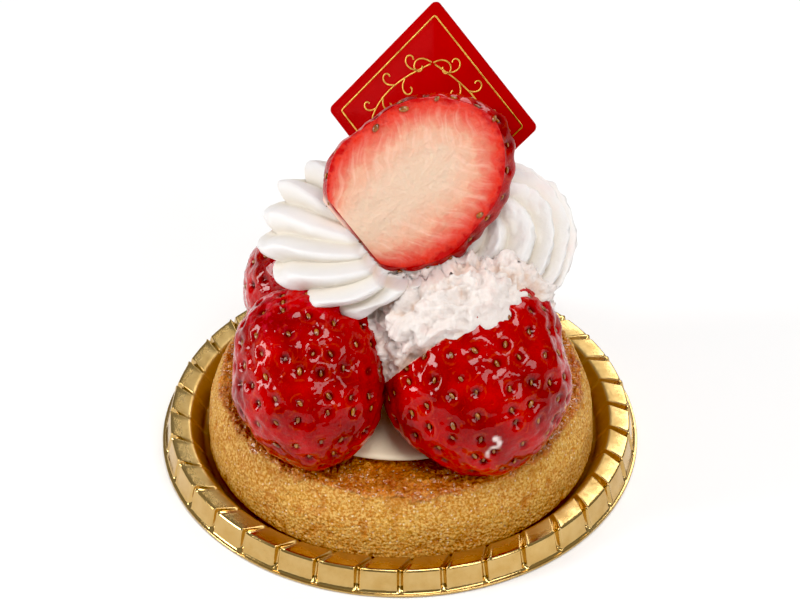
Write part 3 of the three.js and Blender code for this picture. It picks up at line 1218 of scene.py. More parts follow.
@dataclass
class BerryForm:
    """A strawberry's form, about its own middle, with its tip at -Z."""

    TIP_POWER = 0.62
    LEAF_POWER = 2.5

    size: Triple
    widest: float
    blunt: float
    seed: int

    def outline(self, along: np.ndarray) -> np.ndarray:
        """Works out the radius along the berry, as a share of its widest.

        Args:
            along: Shares of the way from the tip to the leaf end.

        Returns:
            The radius shares.
        """
        lower = 1 - np.clip(along / self.widest, 0, 1)
        upper = np.clip((along - self.widest) / (1 - self.widest), 0, 1)
        below = np.power(1 - np.power(lower, self.blunt), self.TIP_POWER)
        above = np.sqrt(1 - np.power(upper, self.LEAF_POWER))
        return np.where(along < self.widest, below, above)

    def surface(self, angle: np.ndarray, along: np.ndarray) -> np.ndarray:
        """Works out points on the berry.

        Args:
            angle: Angles round its length.
            along: Shares of the way from the tip to the leaf end.

        Returns:
            The points, with their three coordinates last.
        """
        width, depth, length = self.size
        share = self.outline(along) * (1 + 0.03 * Waves(self.seed)(angle, along))
        across = np.cos(angle) * share * width / 2
        through = np.sin(angle) * share * depth / 2
        return np.stack([across, through, (along - 0.5) * length + 0 * angle], axis=-1)

    def outward(self, points: np.ndarray) -> np.ndarray:
        """Works out roughly which way is outwards.

        Args:
            points: Points on the berry, about its middle.

        Returns:
            Unit directions.
        """
        way = points / (np.array(self.size) ** 2)
        return way / np.linalg.norm(way, axis=1, keepdims=True)

    def seed_places(self, spacing: float) -> tuple[np.ndarray, np.ndarray]:
        """Spreads seeds over the berry in staggered rings.

        Args:
            spacing: How far apart the seeds are.

        Returns:
            The seeds' angles and their shares of the way along.
        """
        random = np.random.default_rng(100 + self.seed)
        along = (1 - np.cos(np.linspace(0, math.pi, 400))) / 2
        line = self.surface(np.zeros(400), along)
        run = np.concatenate([[0], np.cumsum(np.linalg.norm(np.diff(line, axis=0), axis=1))])
        angles, places = [], []
        for index, reach in enumerate(np.arange(0.7 * spacing, run[-1] - 0.5 * spacing, 0.84 * spacing)):
            place = np.interp(reach, run, along)
            girth = TAU * self.outline(np.array(place)) * (self.size[0] + self.size[1]) / 4
            count = max(3, round(float(girth) / spacing))
            turn = 0.5 * (index % 2) + 0.13 * index
            for step in range(count):
                angles.append(TAU * (step + turn + random.uniform(-0.22, 0.22)) / count)
                places.append(place + random.uniform(-0.2, 0.2) * spacing / self.size[2])
        return np.array(angles), np.clip(places, 0.01, 0.99)


@dataclass
class SeedField:
    """A berry's seeds in their pits, each a little different."""

    places: np.ndarray
    outward: np.ndarray
    draw: int
    pit_depth: float = 0.00085
    pit_radius: float = 0.0009
    dent_depth: float = 0.0004
    dent_radius: float = 0.0021
    ring_radius: float = 0.0018
    ring_width: float = 0.0002
    vein_width: float = 0.0011
    size: Triple = (0.00044, 0.0008, 0.00034)
    levels: int = 5
    sides: int = 8

    def __post_init__(self) -> None:
        """Draws how deep, how large and how turned each seed is."""
        random = np.random.default_rng(300 + self.draw)
        count = len(self.places)
        self.depths = random.uniform(0.45, 1.0, count)
        self.sizes = random.uniform(0.72, 1.1, count)
        self.turns = random.uniform(-0.6, 0.6, count)

    def press(self, points: np.ndarray) -> tuple[np.ndarray, dict[str, np.ndarray]]:
        """Works out how the seeds press into the skin, and what the skin is painted with.

        Args:
            points: The skin's points.

        Returns:
            How far each point rises, and the paints by name.
        """
        first = np.full(len(points), 1.0)
        second = np.full(len(points), 1.0)
        index = np.zeros(len(points), dtype=int)
        for number, place in enumerate(self.places):
            distance = np.linalg.norm(points - place, axis=1)
            second = np.minimum(second, np.maximum(first, distance))
            index[distance < first] = number
            first = np.minimum(first, distance)
        pit = np.exp(-((first / self.pit_radius) ** 2))
        dent = np.exp(-((first / self.dent_radius) ** 2))
        relief = -self.depths[index] * (self.pit_depth * pit + self.dent_depth * dent)
        paints = {
            # painted shade in the pits
            "pit": self.depths[index] * smooth_step(pit, 0.15, 0.7),
            "between": 1 - np.clip((second - first) / self.vein_width, 0, 1),
            # rings round the pits: partly tint, partly painted highlight
            "ring_tint_and_highlight": np.exp(-(((first - self.ring_radius) / self.ring_width) ** 2)),
        }
        return relief, paints

    def mesh(self) -> tuple[np.ndarray, list]:
        """Makes every seed as a small pointed oval that lies in its pit.

        Returns:
            The seeds' points and faces.
        """
        climb = np.linspace(-math.pi / 2, math.pi / 2, self.levels + 2)[1:-1][:, None]
        around = ring_angles(self.sides)
        girth = np.cos(climb)
        lengthwise = np.sin(climb) + 0 * around
        rings = np.stack([girth * np.cos(around), lengthwise, girth * np.sin(around)], axis=-1)
        oval, inward_faces = closed_mesh((0, -1, 0), rings, (0, 1, 0))
        oval = oval * np.array(self.size)
        faces = [face[::-1] for face in inward_faces]
        down = np.array((0, 0, -1.0))
        length = down - self.outward * (self.outward @ down)[:, None]
        length /= np.linalg.norm(length, axis=1, keepdims=True) + 1e-9
        across = np.cross(length, self.outward)
        turned_length = np.cos(self.turns)[:, None] * length + np.sin(self.turns)[:, None] * across
        turned_across = np.cross(turned_length, self.outward)
        depth = self.depths * (self.pit_depth + self.dent_depth) - 0.4 * self.size[2]
        sunk = self.places - self.outward * depth[:, None]
        parts = []
        for index, size in enumerate(self.sizes):
            axes = np.stack([turned_across[index], turned_length[index], self.outward[index]])
            parts.append((oval * size @ axes + sunk[index], faces))
        return gathered(parts)


@dataclass
class WholeBerry:
    """A whole glazed strawberry, its leaf end sliced flat."""

    name: str
    node: str
    middle: Triple
    tip: Triple
    form: BerryForm
    slice_normal: Triple
    slice_reach: float
    spacing: float = 0.0053
    wrinkle: float = 0.0002
    swell: float = 0.00028
    fine_swell: float = 0.00013
    columns: int = 260
    rows: int = 180
    pale_streak: tuple[Triple, ...] = ()
    pale_streak_reach: float = 0.0013

    def move(self) -> Matrix:
        """Returns the move from the berry's own middle to its place."""
        return turned((0, 0, -1), self.tip, self.middle)

    def build(self) -> Piece:
        """Builds the berry with its pits and seeds, and paints what its skin reads.

        Returns:
            The berry's piece.
        """
        rows = np.arange(1, self.rows) / self.rows
        along = ((1 - np.cos(math.pi * rows)) / 2)[:, None]
        angle = ring_angles(self.columns)
        grid = self.form.surface(angle, along + 0 * angle).reshape(-1, 3)
        points = np.vstack([grid, [(0, 0, -self.form.size[2] / 2)], [(0, 0, self.form.size[2] / 2)]])
        places = self.form.surface(*self.form.seed_places(self.spacing))
        seeds = SeedField(places, self.form.outward(places), self.form.seed)
        relief, paints = seeds.press(points)
        along_all = points[:, 2] / self.form.size[2] + 0.5
        noise = SpaceNoise(50 + self.form.seed)
        wrinkles = noise.layered(points * (1, 1, 0.4), 0.002, 2) * smooth_step(along_all, 0.3, 0.75)
        swells = self.swell * noise.layered(points, 0.0042, 2)
        relief += swells + self.fine_swell * noise.layered(points, 0.0014, 2)
        relief += self.wrinkle * wrinkles
        shaped = points + self.form.outward(points) * relief[:, None]
        sliced, depth = self.sliced(moved(shaped, self.move()))
        rings = sliced[:-2].reshape(self.rows - 1, self.columns, 3)
        # where the skin turns pinker near the leaf end: partly paler shoulder, partly painted sheen
        paints["shoulder"] = smooth_step(along_all + 0.08 * noise.at(points, 0.006), 0.62, 0.95)
        paints["sliced"] = (depth > 0).astype(float)
        # a pale streak painted on the skin
        paints["pale_streak"] = self.pale_streak_share(sliced, noise)
        seed_points, seed_faces = seeds.mesh()
        seed_points, _ = self.sliced(moved(seed_points, self.move()))
        piece = closed_form(self.name, sliced[-2], rings, sliced[-1]).joined(seed_points, seed_faces, 1)
        for name, values in paints.items():
            piece.paint(name, np.append(values, np.zeros(len(seed_points))))
        return piece

    def pale_streak_share(self, points: np.ndarray, noise: SpaceNoise) -> np.ndarray:
        """Works out where the skin carries a thin pale streak.

        Args:
            points: Points in their place.
            noise: The noise that frays the streak's edge.

        Returns:
            Shares from 0 to 1.
        """
        if not self.pale_streak:
            return np.zeros(len(points))
        start, end = np.array(self.pale_streak)
        way = end - start
        share = np.clip((points - start) @ way / (way @ way), 0, 1)
        off = np.linalg.norm(points - start - share[:, None] * way, axis=1)
        frayed = off + 0.6 * self.pale_streak_reach * noise.at(points, 0.0012)
        return 1 - smooth_step(frayed, 0.4 * self.pale_streak_reach, self.pale_streak_reach)

    def above(self, points: np.ndarray) -> np.ndarray:
        """Works out how far some points lie outside the berry.

        Args:
            points: Points in their place.

        Returns:
            Rough distances, below 0 inside the berry.
        """
        half_size = np.array(self.form.size) / 2
        local = moved(points, self.move().inverted())
        round_it = (np.linalg.norm(local / half_size, axis=1) - 1) * half_size.min()
        return np.maximum(round_it, self.sliced(points)[1])

    def sliced(self, points: np.ndarray) -> tuple[np.ndarray, np.ndarray]:
        """Flattens what lies beyond the slice onto it.

        Args:
            points: Points in their place.

        Returns:
            The flattened points, and how far beyond the slice they were.
        """
        normal = np.array(self.slice_normal) / np.linalg.norm(self.slice_normal)
        beyond = (points - np.array(self.middle)) @ normal - self.slice_reach
        return points - np.clip(beyond, 0, None)[:, None] * normal, beyond


@dataclass
class BerryRing:
    """The four whole strawberries that lean inwards round the tart."""

    berries: tuple[WholeBerry, ...] = field(
        default_factory=lambda: (
            WholeBerry(
                "berry_front_left",
                "strawberry_front_left",
                (-0.0176, -0.0203, 0.0312),
                (0.12, -0.66, -0.74),
                BerryForm((0.0306, 0.0292, 0.0372), 0.5, 2.1, 1),
                (-0.12, 0.66, 0.74),
                0.0174,
            ),
            WholeBerry(
                "berry_front_right",
                "strawberry_front_right",
                (0.0149, -0.0202, 0.0316),
                (0.22, -0.66, -0.7),
                BerryForm((0.0374, 0.031, 0.041), 0.5, 2.1, 2),
                (-0.56, 0.58, 0.59),
                0.0084,
                pale_streak=((0.0172, -0.0384, 0.0255), (0.0188, -0.0382, 0.0302)),
            ),
            WholeBerry(
                "berry_back_left",
                "strawberry_back_left",
                (-0.0188, 0.0106, 0.0292),
                (-0.45, 0.5, -0.7),
                BerryForm((0.029, 0.028, 0.033), 0.56, 1.9, 3),
                (0.2, -0.5, 0.84),
                0.016,
            ),
            WholeBerry(
                "berry_back_right",
                "strawberry_back_right",
                (0.0154, 0.0172, 0.0304),
                (0.26, 0.64, -0.66),
                BerryForm((0.032, 0.029, 0.035), 0.58, 1.9, 4),
                (-0.2, -0.5, 0.84),
                0.0155,
            ),
        )
    )

    def dress(self, skin: bpy.types.Material, husk: bpy.types.Material) -> None:
        """Builds and dresses the berries.

        Args:
            skin: The berries' skin.
            husk: Their seeds' finish.
        """
        for berry in self.berries:
            berry.build().dress([skin, husk], Slot.SKIN, [berry.node])


@dataclass
class HalfBerry:
    """Half a strawberry: its cut face looks to the front and leans back, its tip up and to the right."""

    node: str = "strawberry_half"
    middle: Triple = (0.0045, -0.0024, 0.0649)
    lean: float = math.radians(27)
    tip_angle: float = math.radians(38.5)
    form: BerryForm = field(default_factory=lambda: BerryForm((0.0324, 0.025, 0.0404), 0.57, 2.45, 5))
    slice_reach: float = 0.0178
    face_share: float = 0.915
    face_shift: float = 0.0011
    face_forward: float = 0.0003
    face_relief: float = 0.00016
    rim_fall: float = 0.0003
    centre_share: float = 0.02
    core_share: float = 0.06
    core_size: Triple = (0.10, 0, 0.55)
    tip_share: float = 0.42
    swell: float = 0.00022
    cream_gap: float = 0.0003
    cream_behind: float = 0.0012
    streak: float = 0.0017
    streak_slope: float = 0.75
    streak_wander: float = 0.0014
    spacing: float = 0.0052
    rim_seeds: tuple[tuple[float, float], ...] = (
        (0.0142, 0.0004),
        (0.0137, -0.0061),
        (0.0113, -0.0123),
        (0.0014, -0.0186),
        (-0.0116, -0.0048),
    )
    columns: int = 240
    face_rows: int = 60
    skin_rows: int = 56

    def move(self) -> Matrix:
        """Returns the move from the half berry's own middle to its place."""
        lean_back = Matrix.Rotation(-self.lean, 4, "X")
        tip_up = Matrix.Rotation(-math.pi / 2 - self.tip_angle, 4, "Y")
        return Matrix.Translation(Vector(self.middle)) @ lean_back @ tip_up

    def rim(self) -> np.ndarray:
        """Works out the outline of the cut face.

        Returns:
            The outline's points in the local XZ plane, tip first.
        """
        half = self.columns // 2
        along = (1 - np.cos(np.linspace(0, math.pi, half + 1))) / 2
        one_side = self.form.surface(np.zeros(half + 1), along)
        other_side = self.form.surface(np.full(half + 1, math.pi), along)
        loop = np.vstack([one_side, other_side[-2:0:-1]])
        loop[:, 1] = 0
        loop[:, 2] = np.minimum(loop[:, 2], self.slice_reach)
        return self.even(loop)

    def even(self, loop: np.ndarray) -> np.ndarray:
        """Spreads a closed outline's points evenly along it.

        Args:
            loop: The outline's points.

        Returns:
            As many points as the half berry has columns.
        """
        closed = np.vstack([loop, loop[:1]])
        run = np.concatenate([[0], np.cumsum(np.linalg.norm(np.diff(closed, axis=0), axis=1))])
        wanted = np.linspace(0, run[-1], self.columns, endpoint=False)
        return np.stack([np.interp(wanted, run, closed[:, axis]) for axis in range(3)], axis=-1)

    def shading(self, points: np.ndarray) -> tuple[np.ndarray, np.ndarray]:
        """Works out how near the skin each point of the face lies, and which streak it lies in.

        Args:
            points: The face's points, spread out to the whole outline.

        Returns:
            The nearness, 1 at the skin, and the streaks' numbers.
        """
        width, _, length = self.form.size
        along = np.clip(points[:, 2] / length + 0.5, 0.001, 0.999)
        side = np.clip(np.abs(points[:, 0]) / (self.form.outline(along) * width / 2), 0, 1)
        tipward = np.clip(1 - along / self.tip_share, 0, 1)
        across = np.sqrt(side**2 + tipward**2 * (1 - side**2))
        wander = self.streak_wander * SpaceNoise(62).layered(points, 0.005, 2)
        slanted = points[:, 2] + self.streak_slope * np.abs(points[:, 0]) + wander
        return across, slanted / self.streak + 40 * (points[:, 0] < 0)

    def skin_seeds(self, skin: np.ndarray) -> SeedField:
        """Spreads seeds over the skin in staggered rings.

        Args:
            skin: The skin's rings of points.

        Returns:
            The seeds.
        """
        places = []
        for index, row in enumerate(range(4, self.skin_rows - 2, 8)):
            ring = skin[row]
            girth = np.linalg.norm(np.diff(ring, axis=0), axis=1).sum()
            count = max(3, round(girth / self.spacing))
            columns = ((np.arange(count) + 0.5 * (index % 2)) / count * self.columns).astype(int)
            places.append(ring[columns])
        found = np.vstack(places)
        return SeedField(found, self.form.outward(found), 5)

    def face_seeds(self) -> SeedField:
        """Returns the seeds that the cut went past, at the face's rim."""
        places = np.array([(across, -self.face_forward, along) for across, along in self.rim_seeds])
        forward = np.tile((0.0, -1.0, 0.0), (len(places), 1))
        return SeedField(places, forward, 6, pit_depth=0, dent_depth=0, size=(0.00055, 0.0009, 0.0004))

    def build(self) -> Piece:
        """Builds the half berry: its cut face, the skin that bulges beyond it, and the seeds.

        Returns:
            The half berry's piece.
        """
        rim = self.rim()
        length = self.form.size[2]
        centre = np.array((0, 0, self.centre_share * length))
        start = -math.acos(self.face_share)
        reach_back = self.form.size[1] / 2 / (1 - math.sin(start))
        core = rim * self.core_size + (0, 0, self.core_share * length)
        shares = np.linspace(0.04, 1, self.face_rows)
        whole_face = (core[None] + (rim - core)[None] * shares[:, None, None]).reshape(-1, 3)
        across, streaks = self.shading(whole_face)
        noise = SpaceNoise(61)
        flat = centre + (whole_face - centre) * self.face_share + (self.face_shift, 0, 0)
        fall = self.rim_fall * np.repeat(shares**6, self.columns)
        relief = self.face_relief * noise.layered(flat, 0.002, 3) - fall
        flat[:, 1] = -relief - self.face_forward
        turn = np.linspace(start, math.pi / 2, self.skin_rows + 1)[1:][:, None, None]
        skin = centre + (rim - centre)[None] * np.maximum(np.cos(turn), 0.02)
        skin[..., 0] += self.face_shift * np.clip(turn[..., 0] / start, 0, 1)
        skin[..., 1] = reach_back * (np.sin(turn[..., 0]) - math.sin(start))
        seeds = self.skin_seeds(skin)
        skin_flat = skin.reshape(-1, 3)
        pressed, paints = seeds.press(skin_flat)
        pressed += self.swell * noise.layered(skin_flat, 0.0042, 2)
        sliced = smooth_step(skin_flat[:, 2], self.slice_reach - 0.0012, self.slice_reach - 0.0003)
        skin_flat = skin_flat + self.form.outward(skin_flat) * (pressed * (1 - sliced))[:, None]
        rings = moved(np.vstack([flat, skin_flat]), self.move()).reshape(-1, self.columns, 3)
        ends = np.array([
            (0, -self.face_forward, self.core_share * length),
            (0, self.form.size[1] / 2, self.centre_share * length),
        ])
        middle, back = moved(ends, self.move())
        piece = closed_form("half_berry", middle, rings, back)
        first_skin = (self.face_rows - 1) * self.columns
        numbers = [int(min(polygon.vertices) >= first_skin) for polygon in piece.object.data.polygons]
        piece.object.data.polygons.foreach_set("material_index", numbers)
        extra = 2
        for field_of_seeds in (seeds, self.face_seeds()):
            points, faces = field_of_seeds.mesh()
            piece = piece.joined(moved(points, self.move()), faces, 2)
            extra += len(points)
        piece.paint("across", np.concatenate([across, np.ones(len(skin_flat)), [0], np.ones(extra - 1)]))
        piece.paint("around", np.concatenate([streaks, np.zeros(len(skin_flat) + extra)]))
        paints["sliced"] = sliced
        paints["shoulder"] = np.zeros(len(skin_flat))
        for name, values in paints.items():
            piece.paint(name, np.concatenate([np.zeros(len(flat)), values, np.zeros(extra)]))
        return piece

    def dress(self, effects: Effects, skin: bpy.types.Material, husk: bpy.types.Material) -> None:
        """Builds and dresses the half berry.

        Args:
            effects: The shared shader groups.
            skin: The berries' skin.
            husk: Their seeds' finish.
        """
        self.build().dress([CutFlesh().make(effects), skin, husk], Slot.FLESH, [self.node])

    def clear(self, points: np.ndarray) -> np.ndarray:
        """Moves cream that would cover the cut face to just behind it.

        Args:
            points: The cream's points.

        Returns:
            The points, clear of the space in front of the face.
        """
        local = moved(points, self.move().inverted())
        width, _, length = self.form.size
        gap = self.cream_gap
        behind = self.cream_behind
        along = np.clip(local[:, 2] / (length + 2 * gap) + 0.5, 0, 1)
        reach = self.form.outline(along) * (width / 2 + gap)
        side = smooth_step(reach - np.abs(local[:, 0]), 0.0, behind)
        top = smooth_step(self.slice_reach + gap - local[:, 2], 0.0, behind)
        inside = side * top * (local[:, 1] < behind)
        local[:, 1] = local[:, 1] * (1 - inside) + behind * inside
        return moved(local, self.move())


@dataclass
class Rosette:
    """A piped rosette: a ridged dome whose creases turn as they climb."""

    name: str
    node: str
    middle: Triple
    peak: Triple
    radii: tuple[float, float]
    front: float
    back: float
    ridges: int
    ridge_depth: float
    twist: float
    roughness: float
    seed: int
    phase: float = 0.0
    section: float = 0.8
    lean: tuple[float, float] = (0.0, 0.0)
    dip: float = 0.001
    drawn_in: float = 0.0
    drawn_towards: float = 0.0
    crest: float = 0.5
    uneven: float = 0.1
    roundness: float = 1.7
    relief: float = 0.0006
    columns_a_ridge: int = 18
    rows: int = 110

    def build(self, half: HalfBerry) -> Piece:
        """Builds the rosette and paints shade in its creases.

        Args:
            half: The half berry that the cream keeps clear of.

        Returns:
            The rosette's piece.
        """
        columns = self.ridges * self.columns_a_ridge
        climb = (math.pi * (np.arange(1, self.rows) / self.rows - 0.5))[:, None]
        share = (np.arange(columns) / self.columns_a_ridge)[None, :]
        lobe = np.floor(share).astype(int)
        random = np.random.default_rng(self.seed)
        shares = random.uniform(1 - self.uneven, 1 + self.uneven, self.ridges)
        widths = np.concatenate([[0], np.cumsum(shares)])
        widths *= TAU / widths[-1]
        angle = widths[lobe] + (widths[lobe + 1] - widths[lobe]) * (share - lobe)
        reach = random.uniform(1 - 0.3 * self.uneven, 1 + 0.1 * self.uneven, self.ridges)
        level = np.sin(climb)
        height = np.where(level < 0, self.back, self.front)
        inward = np.where(level < 0, 0, 1 - np.cos(climb))
        over = share - lobe - self.crest
        from_crest = np.where(over < 0, -over / self.crest, over / (1 - self.crest))
        crease = np.power(from_crest, self.roundness)
        spread = np.power(np.cos(climb), self.section)
        beside = 0.5 * (reach[lobe] + np.where(over < 0, reach[lobe - 1], reach[(lobe + 1) % self.ridges]))
        drawn = 1 - self.drawn_in * np.clip(np.cos(angle + self.phase - self.drawn_towards), 0, 1)
        reached = reach[lobe] * (1 - crease) + beside * crease
        across = spread * reached * (1 - self.ridge_depth * crease) * drawn
        turned_angle = angle + self.phase + self.twist * level + 0.04 * Waves(self.seed + 1)(angle, level / 2)
        sunk = self.dip * np.power(from_crest, 1.2) * (1 - inward) * smooth_step(level, -0.3, 0.6)
        sideways = np.cos(turned_angle) * across * self.radii[0] + inward * self.lean[0]
        backwards = np.sin(turned_angle) * across * self.radii[1] + inward * self.lean[1]
        points = np.stack([sideways, backwards, level * height - sunk], axis=-1).reshape(-1, 3)
        ends = np.array([(0, 0, -self.back), (self.lean[0], self.lean[1], self.front)])
        placed = moved(np.vstack([points, ends]), turned((0, 0, 1), self.peak, self.middle))
        noise = SpaceNoise(self.seed)
        outward = placed - np.array(self.middle)
        outward /= np.linalg.norm(outward, axis=1, keepdims=True)
        rough = 0.4 * noise.layered(placed, 0.006, 2) + self.roughness * noise.billows(placed, 0.0024, 3)
        placed = half.clear(placed + outward * self.relief * rough[:, None])
        rings = placed[:-2].reshape(self.rows - 1, columns, 3)
        piece = closed_form(self.name, placed[-2], rings, placed[-1])
        # painted shade: the creases between the ridges get the darker crease colour
        shade = (crease + 0 * climb).ravel() * 0.9
        piece.paint("crease", np.append(shade, (0.5, 0.5)))
        return piece


@dataclass
class Lump:
    """A round of whipped cream before it is roughened."""

    ROWS = 40
    COLUMNS = 72

    middle: Triple
    radii: Triple
    lump: float
    seed: int

    def build(self) -> tuple[np.ndarray, list]:
        """Works out the round.

        Returns:
            Its points and faces.
        """
        share = (np.arange(1, self.ROWS) / self.ROWS)[:, None]
        climb = math.pi * (share - 0.5)
        angle = ring_angles(self.COLUMNS)
        uneven = 1 + self.lump * Waves(self.seed)(angle, share)
        girth = np.cos(climb)
        way = np.stack([girth * np.cos(angle), girth * np.sin(angle), np.sin(climb) + 0 * angle], axis=-1)
        points = np.array(self.middle) + way * uneven[..., None] * np.array(self.radii)
        down = np.array(self.middle) - (0, 0, self.radii[2])
        up = np.array(self.middle) + (0, 0, self.radii[2])
        return closed_mesh(down, points, up)


@dataclass
class WhippedCream:
    """All the whipped cream: the rough mound between the berries and the two rosettes."""

    lumps: tuple[Lump, ...] = (
        Lump((0.004, -0.001, 0.034), (0.027, 0.021, 0.016), 0.05, 21),
        Lump((0.006, 0.011, 0.044), (0.014, 0.0095, 0.011), 0.06, 22),
        Lump((0.0113, -0.0152, 0.0432), (0.0150, 0.0114, 0.0098), 0.03, 24),
        Lump((0.0205, -0.0110, 0.0445), (0.0085, 0.0068, 0.0070), 0.05, 25),
        Lump((0.0006, -0.0190, 0.0350), (0.0062, 0.0060, 0.0090), 0.05, 26),
    )
    voxel: float = 0.0005
    lump_height: float = 0.0021
    lump_scale: float = 0.0062
    crumb_height: float = 0.0008
    crumb_scale: float = 0.002
    flake_height: float = 0.0009
    flake_scale: float = 0.003
    tear_height: float = 0.00032
    tear_scale: float = 0.0014
    near_berry: float = 0.0016
    rosettes: tuple[Rosette, ...] = (
        Rosette(
            name="rosette_left",
            node="cream_rosette_left",
            middle=(-0.0045, 0.0012, 0.0502),
            peak=(0.06, -0.2, 0.98),
            radii=(0.024, 0.024),
            front=0.0075,
            back=0.0065,
            ridges=15,
            ridge_depth=0.14,
            twist=0.2,
            roughness=0.3,
            seed=71,
            phase=math.radians(13),
            section=0.46,
            lean=(0.007, -0.009),
            dip=0.0028,
            drawn_in=0.35,
            drawn_towards=math.radians(-20),
            crest=0.6,
            roundness=1.7,
            uneven=0.16,
        ),
        Rosette(
            name="rosette_right",
            node="cream_rosette_right",
            middle=(0.019, 0.0085, 0.0425),
            peak=(-0.2, -0.3, 0.9),
            radii=(0.017, 0.017),
            front=0.014,
            back=0.009,
            ridges=8,
            ridge_depth=0.2,
            twist=2.6,
            roughness=1.3,
            seed=72,
            dip=0.0025,
            uneven=0.2,
        ),
    )

    def mound(self, half: HalfBerry, berry: WholeBerry) -> Piece:
        """Builds the mound: the lumps as one skin, roughened all over.

        Args:
            half: The half berry that the cream keeps clear of.
            berry: The berry that the cream spills over, where it thins out.

        Returns:
            The mound's piece.
        """
        rough = Piece("mound_form", *gathered([lump.build() for lump in self.lumps]))
        remesh = rough.object.modifiers.new("skin", "REMESH")
        remesh.mode = "VOXEL"
        remesh.voxel_size = self.voxel
        graph = bpy.context.evaluated_depsgraph_get()
        mesh = bpy.data.meshes.new_from_object(rough.object.evaluated_get(graph))
        bpy.data.objects.remove(rough.object)
        piece = Piece.from_mesh("cream_mound_body", mesh)
        places = piece.points()
        noise = SpaceNoise(81)
        lumps = noise.billows(places, self.lump_scale, 2)
        crumbs = noise.billows(places + 0.05, self.crumb_scale, 3)
        flakes = 1 - 2.4 * noise.billows(places + 0.09, self.flake_scale, 3)
        tears = 1 - 2.4 * noise.billows(places + 0.13, self.tear_scale, 2)
        relief = self.lump_height * (lumps - 0.35) + self.crumb_height * (crumbs - 0.3)
        relief += self.flake_height * flakes + self.tear_height * tears
        relief *= 0.12 + 0.88 * smooth_step(berry.above(places), 0, self.near_berry)
        piece.move_points(half.clear(places + piece.normals() * relief[:, None]))
        # painted shade: the mound's low places get the darker crease colour
        piece.paint("crease", smooth_step(-lumps - 0.5 * crumbs, -0.75, -0.1))
        return piece

    def dress(self, effects: Effects, half: HalfBerry, berry: WholeBerry) -> None:
        """Builds and dresses the cream.

        Args:
            effects: The shared shader groups.
            half: The half berry that the cream keeps clear of.
            berry: The berry that the cream spills over.
        """
        smooth = Cream().make(effects)
        # painted light: the right rosette's cream is a lighter copy of the same cream, brighter where more
        # light falls
        blushing = Cream(
            name="lit_blushing_cream", crest=srgb(236, 233, 231), blushing=0.5, grain=0.00012
        ).make(effects)
        # the torn cream's darker crease colour is painted shade
        torn = Cream(
            name="torn_cream",
            crest=srgb(234, 224, 218),
            crease=srgb(220, 190, 168),
            blush=srgb(230, 202, 194),
            blushing=0.6,
            grain=0.0003,
        ).make(effects)
        self.mound(half, berry).dress([torn], Slot.CREAM, ["cream_mound"])
        left, right = self.rosettes
        left.build(half).dress([smooth], Slot.CREAM, [left.node])
        right.build(half).dress([blushing], Slot.CREAM, [right.node])


